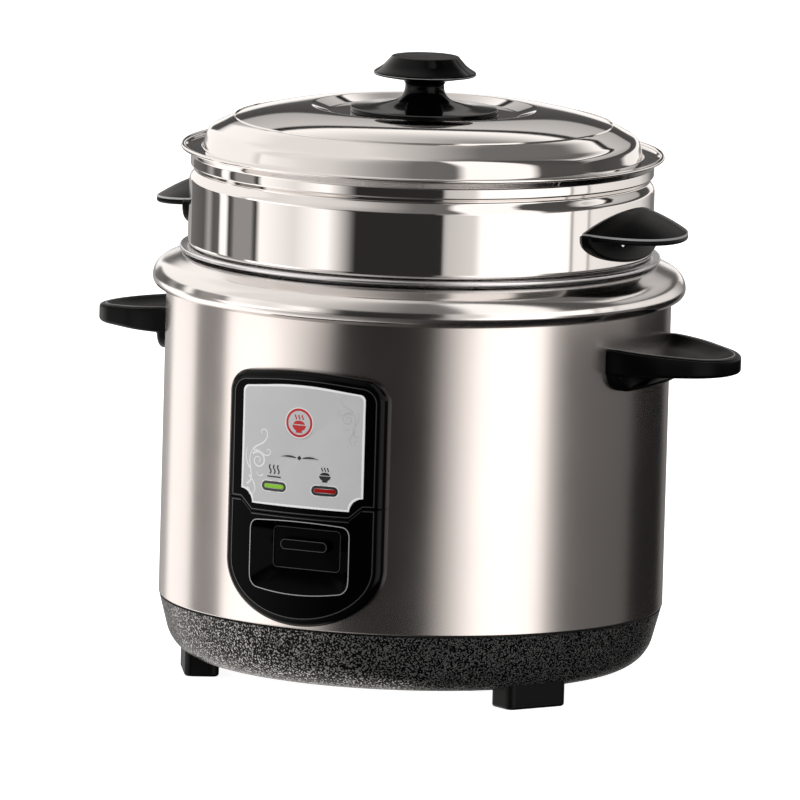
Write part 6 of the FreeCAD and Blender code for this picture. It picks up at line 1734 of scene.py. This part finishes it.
@dataclass(frozen=True)
class SteamerHandle:
    """Domed tongue with a thin edge, part of a disc that the wall cuts off, with a half-moon pad."""

    side: Side
    wall: float = 119.7
    edge: float = 239.8
    reach: float = 27.0
    radius: float = 43.6
    thin: float = 3.2
    under_round: float = 1.2
    crown: float = 12.0
    fall: float = 2.6
    pad_drop: float = 13.9
    pad_thick: float = 3.9
    pad_round: float = 1.5

    def heights(self, x: np.ndarray, y: np.ndarray, level: float | None) -> np.ndarray:
        """Height over a plan point, tilted so that the tongue rises to the wall.

        Args:
            x: Distance from the axis of the cooker.
            y: Distance from the middle of the tongue.
            level: Height of a flat ring before the tilt, or none on the dome, a sphere through edge and crown.

        Returns:
            Heights.
        """
        tip = self.wall + self.reach
        sphere = (self.radius ** 2 + self.crown ** 2) / (2 * self.crown)
        away = np.hypot(x - tip + self.radius, y)
        dome = self.edge + self.crown - sphere + np.sqrt(sphere ** 2 - np.minimum(away, self.radius) ** 2)
        return (dome if level is None else level) + self.fall / self.reach * (tip - x)

    def build(self) -> None:
        """Loft rings from the underside over the edge to the dome, and add the pad; a pale band along the thin edge is
        a painted highlight.
        """
        low = self.edge - self.thin
        steps: list[tuple[float, float | None]] = [(22.0, low), (8.0, low)]
        steps += [(inset, low + short) for inset, short in reversed(quarter_round(self.under_round, 6))]
        steps += [(0.0, self.edge - 0.5), (0.05, self.edge - 0.2), (0.3, self.edge - 0.02)]
        steps += [(inset, None) for inset in (0.6, 1.5, 3.0, 5.0, 8.0, 12.0, 16.0, 20.0, 24.0)]
        surface = Surface().loft(np.array([self.ring(*step) for step in steps]), start_cap=True, end_cap=True)
        surface.loft(self.pad(), start_cap=True, end_cap=True)
        surface.points = [points * self.side.turn for points in surface.points]
        name = self.side.name.lower()
        surface.piece(f"steamer_grip_{name}", HANDLE_BLACK, "steamer", [f"steamer_handle_{name}"])
        # Painted highlight: a pale band along the grip's thin edge.
        edges = ((0.5, self.edge - 0.6, 0.0), (-0.05, self.edge - 0.5, 0.0), (-0.05, self.edge - 0.1, 0.0),
                 (0.6, None, 0.06), (0.6, None, -0.3))
        band = np.array([self.ring(inset, level) + np.array([0, 0, lift]) for inset, level, lift in edges])
        Surface().loft(band * self.side.turn, looped=True).piece(f"steamer_grip_line_{name}", PAINTED_EDGE_HIGHLIGHT, "steamer")

    def ring(self, inset: float, level: float | None) -> np.ndarray:
        """One ring: an arc of the disc drawn in by an inset, closed just inside the steamer's wall.

        Args:
            inset: Distance inside the plan.
            level: Height of a flat ring, or none on the dome.

        Returns:
            Points of shape (n, 3).
        """
        inside = self.wall - 0.2
        middle, radius = self.wall + self.reach - self.radius, self.radius - inset
        stop = math.acos((inside ** 2 - middle ** 2 - radius ** 2) / (2 * middle * radius))
        angle = np.linspace(-stop, stop, 72)
        x, y = middle + radius * np.cos(angle), radius * np.sin(angle)
        back = np.linspace(y[-1], y[0], 16)[1:-1]
        x = np.concatenate([x, np.sqrt(inside ** 2 - back ** 2)])
        y = np.concatenate([y, back])
        return np.column_stack([x, y, self.heights(x, y, level)])

    def pad(self) -> np.ndarray:
        """Half-moon pad below the tongue.

        Returns:
            Rings of shape (k, n, 3).
        """
        half = self.radius + 0.4
        angle = np.linspace(math.pi, FULL_TURN, 48)
        moon = np.column_stack([half * np.cos(angle), self.edge + self.pad_drop * np.sin(angle)])
        crest = np.array([[half, self.edge + 2.0], [half - 3, self.edge + 3.2], [-half + 3, self.edge + 3.2],
                          [-half, self.edge + 2.0]])
        outline = divided(np.vstack([moon, crest]), 3.0, True)
        return pad_rings(outline, self.wall - 0.3, self.wall + self.pad_thick, self.pad_round)


# Works


@dataclass(frozen=True)
class ReleaseSpring:
    """Coil spring between the plunger's collar and the sleeve, which shortens as the plunger rises."""

    radius: float = 4.8
    wire: float = 0.8
    turns: float = 4.0
    low: float = 31.7
    high: float = 41.4
    travel: float = 5.6

    def build(self) -> None:
        """Sweep the wire's circle along a helix, and let the coil shorten towards the sleeve with the plunger.

        The helix climbs evenly with its angle: across it stand the outward direction and the one square to that
        and to the wire, and the wire's circle is drawn on these two.
        """
        angle = np.linspace(0, FULL_TURN * self.turns, 161)
        turn = np.linspace(0, FULL_TURN, 13)[None, :-1, None]
        climb = (self.high - self.low - self.wire) / angle[-1]
        outward = np.column_stack([np.cos(angle), np.sin(angle), 0 * angle])
        along = unit(np.column_stack([-self.radius * outward[:, 1], self.radius * outward[:, 0], climb + 0 * angle]))
        middle = self.radius * outward
        middle[:, 2] = self.low + self.wire / 2 + climb * angle
        across = np.cos(turn) * outward[:, None] + np.sin(turn) * np.cross(outward, along)[:, None]
        coil = Surface().loft(middle[:, None] + self.wire / 2 * across, start_cap=True, end_cap=True).piece(
            "release_coil", WORKS_STEEL, ROOT, ["release_spring"])
        length = self.high - self.low
        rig.squash(coil, "plunger_rise", axis=(0, 0, 1), anchor=(0, 0, self.high * MM),
                  keep=(length - self.travel) / length)


# CAD nodes


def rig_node(name: str) -> bpy.types.Object:
    """The CAD object of one node."""
    return next(thing for thing in bpy.data.objects if thing.get("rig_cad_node") == name)


def pierced_floor(node: bpy.types.Object, radius: float, level: float) -> None:
    """Keep the flat pierced floor of the steamer from a merged copy of its CAD mesh.

    Args:
        node: CAD object of the steamer.
        radius: Radius beyond which nothing is kept.
        level: Height under which faces belong to the floor.
    """
    work = bmesh.new()
    work.from_mesh(node.data)
    bmesh.ops.remove_doubles(work, verts=work.verts, dist=1e-6)
    outside = [vert for vert in work.verts
               if vert.co.z > level * MM or math.hypot(vert.co.x, vert.co.y) > radius * MM]
    bmesh.ops.delete(work, geom=outside, context="VERTS")
    mesh = bpy.data.meshes.new("steamer_floor")
    work.to_mesh(mesh)
    work.free()
    mesh.materials.clear()
    mesh.materials.append(POLISHED_STEEL.material())
    floor = placed("steamer_floor", mesh)
    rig.ride(floor, "steamer")
    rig.slot(floor, POLISHED_STEEL.slot)
    LOG.info("steamer_floor: %d faces", len(mesh.polygons))


def dress_nodes(frame: dict) -> None:
    """Give every CAD node that stays visible the finish of its slot.

    Args:
        frame: The loaded frame.
    """
    by_slot = {finish.slot: finish for finish in PLAIN_FINISHES}
    for part in frame["record"]["subparts"]:
        node = frame["nodes"][part["node"]]
        is_foot = part["node"].startswith("foot_") and "screws" not in part["node"]
        finish = FOOT_PLASTIC if is_foot else by_slot[part["material_slot"]]
        node.data.materials.clear()
        node.data.materials.append(finish.material())


# Studio

# Brightness of the light and dark panels round the cooker, as (degrees to the right of the camera, level).

WALL_STOPS = (
    (-179, 0.35), (-150, 0.5), (-146, 1.5), (-121, 1.5), (-118, 0.3), (-97, 0.34), (-94, 1.8), (-70, 1.8), (-40, 0.4),
    (-35, 0.03), (6, 0.03), (13, 0.5), (30, 1.9), (57, 1.9), (64, 0.5), (72, 0.16), (112, 0.13), (118, 0.015),
    (150, 0.015), (158, 0.2), (179, 0.3),
)
UPPER_STOPS = (
    (-179, 0.95), (-100, 0.95), (-75, 1.0), (-50, 0.85), (-28, 0.5), (-5, 0.2), (18, 0.17), (24, 1.4), (60, 1.4),
    (66, 0.1), (100, 0.08), (179, 0.2),
)
LOWER_STOPS = (
    (-179, 1.2), (-130, 1.5), (-100, 1.5), (-70, 0.7), (-45, 0.36), (-24, 0.13), (10, 0.05), (36, 0.02), (78, 0.01),
    (150, 0.02), (179, 0.3),
)
CARD_STOPS = (
    (-140, 0.2), (-118, 0.12), (-112, 0.5), (-108, 0.12), (-102, 0.15), (-101, 1.5), (-96, 1.5), (-95, 0.06),
    (-92, 0.1), (-90, 0.36), (-78, 0.36), (-77, 0.04), (-75, 0.04), (-74, 1.4), (-55, 1.0), (-40, 1.5), (-34, 0.8),
    (-28, 0.12), (-27, 0.03), (9, 0.03), (10, 0.7), (22, 0.9), (25, 1.5), (66, 1.5), (67, 0.2), (69, 1.2), (76, 1.2),
    (77, 0.4), (79, 1.1), (120, 0.9), (140, 0.2),
)

# The far wall by elevation in degrees, and the ceiling by metres to the right of the cooker.

FAR_STOPS = (
    (-10, 1.3), (9.8, 1.1), (11.2, 0.1), (18.5, 0.07), (19.5, 0.5), (30.5, 0.7), (31.3, 0.02), (33.2, 0.02), (34, 1.3),
    (48, 0.9),
)
CEILING_STOPS = ((-3, 1.1), (-0.5, 0.95), (0, 0.6), (0.5, 0.2), (3, 0.14))

# Lamps: name, place and size in metres, watts.

LAMPS = (("key_lamp", (-1.6, -1.9, 2.4), 1.6, 42.0), ("side_lamp", (2.2, -1.2, 1.6), 1.0, 6.0))


@dataclass(frozen=True)
class Studio:
    """White room, a wall of light and dark panels that only reflections see, lamps and the camera."""

    azimuth: float = 25.3
    elevation: float = 8.3
    roll: float = 1.6
    distance: float = 8.0
    lens: float = 699.0
    height: float = 143.0
    aside: float = -8.2
    fill_light: float = 0.55
    floor_span: float = 30.0
    floor_glow: float = 0.9
    room_radius: float = 3000.0
    card_radius: float = 350.0
    card_turn: float = 140.0
    card_levels: tuple[float, float] = (178.0, 262.0)
    lamp_target: float = 0.15
    behind_light: float = 1.2
    # Elevations in degrees, or shares of a turn, between which one part of the room gives way to another.
    lower_blend: tuple[float, float] = (-17.0, -27.0)
    upper_blend: tuple[float, float] = (10.0, 24.0)
    behind_blend: tuple[float, float] = (2.0, 4.5)
    far_blend: tuple[float, float] = (92 / 360, 104 / 360)
    left_blend: tuple[float, float] = (13 / 360, 16 / 360)
    right_blend: tuple[float, float] = (0.5, 0.4)
    ceiling_blend: tuple[float, float] = (70.0, 82.0)
    ceiling_fall: float = 36.0

    def build(self) -> None:
        """Build the whole studio."""
        self.world()
        self.floor()
        self.room()
        self.cards()
        self.lamps()
        self.camera()

    def toward_camera(self) -> np.ndarray:
        """Unit vector from the cooker to the camera."""
        turn, rise = math.radians(self.azimuth), math.radians(self.elevation)
        return np.array([math.sin(turn) * math.cos(rise), -math.cos(turn) * math.cos(rise), math.sin(rise)])

    def camera(self) -> None:
        """Long lens at the photograph's angle, turned a little about its own axis."""
        data = bpy.data.cameras.new("camera")
        data.lens = self.lens
        data.clip_end = 100.0
        eye = placed("camera", data)
        turn, rise = math.radians(self.azimuth), math.radians(self.elevation)
        right = np.array([math.cos(turn), math.sin(turn), 0.0])
        target = np.array([0, 0, self.height * MM]) + right * self.aside * MM
        eye.location = target + self.toward_camera() * self.distance
        eye.rotation_mode = "QUATERNION"
        level = Euler((QUARTER - rise, 0, turn)).to_quaternion()
        eye.rotation_quaternion = level @ Quaternion((0, 0, 1), math.radians(self.roll))
        bpy.context.scene.camera = eye

    def world(self) -> None:
        """White for camera, glossy and transmission rays; a plain level of light for the rest."""
        world = bpy.data.worlds.new("studio")
        bpy.context.scene.world = world
        world.use_nodes = True
        world.node_tree.nodes.clear()
        nodes = Nodes(world.node_tree)
        path = nodes.add("ShaderNodeLightPath")
        seen = nodes.math("MAXIMUM", path.outputs["Is Camera Ray"], path.outputs["Is Glossy Ray"])
        seen = nodes.math("MAXIMUM", seen, path.outputs["Is Transmission Ray"])
        strength = nodes.math("MULTIPLY_ADD", seen, 1 - self.fill_light, self.fill_light)
        back = nodes.add("ShaderNodeBackground", Color=(1, 1, 1, 1), Strength=strength)
        nodes.add("ShaderNodeOutputWorld", Surface=back.outputs[0])

    def floor(self) -> None:
        """White floor that keeps a soft shadow."""
        span = self.floor_span
        mesh = bpy.data.meshes.new("floor")
        mesh.from_pydata([(-span, -span, 0), (span, -span, 0), (span, span, 0), (-span, span, 0)], [], [(0, 1, 2, 3)])
        plane = placed("floor", mesh)
        paper, nodes = blank_material("floor_paper")
        path = nodes.add("ShaderNodeLightPath")
        glow = nodes.math("MULTIPLY", path.outputs["Is Camera Ray"], self.floor_glow)
        shader = nodes.add("ShaderNodeBsdfPrincipled", Base_Color=(0.85, 0.85, 0.85, 1), Roughness=0.9)
        shader.inputs["Emission Color"].default_value = (1, 1, 1, 1)
        nodes.put(glow, shader.inputs["Emission Strength"])
        nodes.add("ShaderNodeOutputMaterial", Surface=shader.outputs[0])
        mesh.materials.append(paper)
        plane.visible_glossy = False
        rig.stage(plane)

    def room(self) -> None:
        """Round room of soft boxes, dark cloth and a pale ceiling, seen only by reflections.

        Its brightness is read from ramps over the angle from the camera and over the elevation, so that upright
        steel shows upright bands and the lid shows the far wall, its cornice and the ceiling.
        """
        far = self.room_radius
        section = rounded_path([(1.0, -far, 0), (far, -far, 0), (far, far, far / 2), (1.0, far, 0)], False, 16)
        surface = Surface().loft(turned(section, 96), start_cap=True, end_cap=True)
        cloth, nodes = blank_material("room_cloth")
        self.reflected("room", np.concatenate(surface.points), surface.faces, cloth, nodes, self.room_light(nodes))

    def cards(self) -> None:
        """Low ring of light and dark cards close by, at the steamer's height, seen only by reflections."""
        around = np.radians(np.linspace(-self.card_turn, self.card_turn, 113) + self.azimuth)
        rim = self.card_radius * np.column_stack([np.sin(around), -np.cos(around), 0 * around])
        points = np.vstack([rim + np.array([0, 0, level]) for level in self.card_levels])
        low = np.arange(len(rim) - 1)
        quads = np.column_stack([low, low + 1, low + 1 + len(rim), low + len(rim)])
        paper, nodes = blank_material("card_paper")
        place = nodes.add("ShaderNodeTexCoord")
        parts = nodes.add("ShaderNodeSeparateXYZ", Vector=place.outputs["Object"])
        share = self.bearing(nodes, parts.outputs["X"], parts.outputs["Y"])
        self.reflected("cards", points, quads.tolist(), paper, nodes,
                       nodes.ramp(share, self.greys(CARD_STOPS, 0.5, 360)))

    @staticmethod
    def reflected(name: str, points: np.ndarray, faces: list, made: bpy.types.Material, nodes: Nodes,
                  colour: bpy.types.NodeSocket) -> None:
        """Add a glowing piece of the studio that only reflections see.

        Args:
            name: Its name.
            points: Vertices in millimetres.
            faces: Vertex numbers of its faces.
            made: Its material.
            nodes: The material's nodes.
            colour: Colour of its light.
        """
        shine = nodes.add("ShaderNodeEmission", Color=colour, Strength=1.0)
        nodes.add("ShaderNodeOutputMaterial", Surface=shine.outputs[0])
        mesh = bpy.data.meshes.new(name)
        mesh.from_pydata((points * MM).tolist(), [], faces)
        mesh.materials.append(made)
        thing = placed(name, mesh)
        thing.visible_camera = False
        thing.visible_diffuse = False
        thing.visible_transmission = False
        thing.visible_shadow = False
        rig.stage(thing)

    def bearing(self, nodes: Nodes, east: bpy.types.NodeSocket, north: bpy.types.NodeSocket) -> bpy.types.NodeSocket:
        """Turn about Z as a share, from the far side over the left to the far side again, the camera at 0.5."""
        turn = nodes.math("ARCTAN2", east, nodes.math("MULTIPLY", north, -1.0))
        return nodes.math("FRACT", nodes.math("MULTIPLY_ADD", turn, 1 / FULL_TURN, 0.5 - self.azimuth / 360))

    def room_light(self, nodes: Nodes) -> bpy.types.NodeSocket:
        """Colour of the room over direction.

        Args:
            nodes: Nodes of the room's material.

        Returns:
            The colour.
        """
        place = nodes.add("ShaderNodeTexCoord")
        parts = nodes.add("ShaderNodeSeparateXYZ", Vector=place.outputs["Object"])
        east, north, up = (parts.outputs[axis] for axis in "XYZ")
        share = self.bearing(nodes, east, north)
        reach = nodes.math("SQRT", nodes.math("MULTIPLY_ADD", east, east, nodes.math("MULTIPLY", north, north)))
        rise = nodes.math("MULTIPLY", nodes.math("ARCTAN2", up, reach), 180 / math.pi)
        turn = math.radians(self.azimuth)
        aside = nodes.math("MULTIPLY_ADD", north, math.sin(turn) / 6, 0.5)
        aside = nodes.math("MULTIPLY_ADD", east, math.cos(turn) / 6, aside)
        wall, upper, lower = (nodes.ramp(share, self.greys(stops, 0.5, 360))
                              for stops in (WALL_STOPS, UPPER_STOPS, LOWER_STOPS))
        wall = nodes.mix(nodes.step(rise, *self.lower_blend), wall, lower)
        behind = nodes.ramp(nodes.math("MULTIPLY_ADD", rise, 1 / 60, 1 / 6), self.greys(FAR_STOPS, 1 / 6, 60))
        ceiling = nodes.ramp(aside, self.greys(CEILING_STOPS, 0.5, 6))
        away = nodes.math("ABSOLUTE", nodes.math("SUBTRACT", share, 0.5))
        far = nodes.step(away, *self.far_blend)
        near_side = nodes.mix(nodes.step(rise, *self.upper_blend), wall, upper)
        left = nodes.math("MULTIPLY", nodes.step(share, *self.left_blend), nodes.step(share, *self.right_blend))
        behind = nodes.mix(left, behind, self.warm(self.behind_light))
        far_side = nodes.mix(nodes.step(rise, *self.behind_blend), wall, behind)
        overhead = nodes.step(nodes.math("MULTIPLY_ADD", far, self.ceiling_fall, rise), *self.ceiling_blend)
        return nodes.mix(overhead, nodes.mix(far, near_side, far_side), ceiling)

    @staticmethod
    def warm(level: float) -> Colour:
        """Slightly warm grey of one brightness."""
        return (level, level * 0.965, level * 0.94)

    def greys(self, stops: Sequence[tuple[float, float]], middle: float, span: float) -> list[tuple[float, Colour]]:
        """Stops of a ramp, each at middle + place / span."""
        return [(middle + place / span, self.warm(level)) for place, level in stops]

    def lamps(self) -> None:
        """One large soft lamp above left and a smaller one at the right."""
        target = Vector((0, 0, self.lamp_target))
        for name, place, size, power in LAMPS:
            data = bpy.data.lights.new(name, "AREA")
            data.size = size
            data.energy = power
            lamp = placed(name, data)
            lamp.location = place
            lamp.visible_glossy = False
            lamp.rotation_euler = (target - Vector(place)).to_track_quat("-Z", "Y").to_euler()


def main() -> None:
    """Load the frame, build each sub-assembly in order, and write the sizes."""
    logging.basicConfig(level=logging.INFO, format="%(name)s %(message)s")
    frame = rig.load()
    cad_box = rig.bounds()
    bpy.context.scene.view_settings.view_transform = "Standard"
    dress_nodes(frame)
    Casing().build()
    for side in Side:
        SideHandle(side).build()
    FrontPanel().build()
    Vessels().build()
    ReleaseSpring().build()
    Studio().build()
    boxes = {"cad": [list(corner) for corner in cad_box], "visual": [list(corner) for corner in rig.bounds()]}
    with open(SIZE_FILE, "w", encoding="utf-8") as handle:
        json.dump(boxes, handle)


if __name__ == "__main__":
    main()
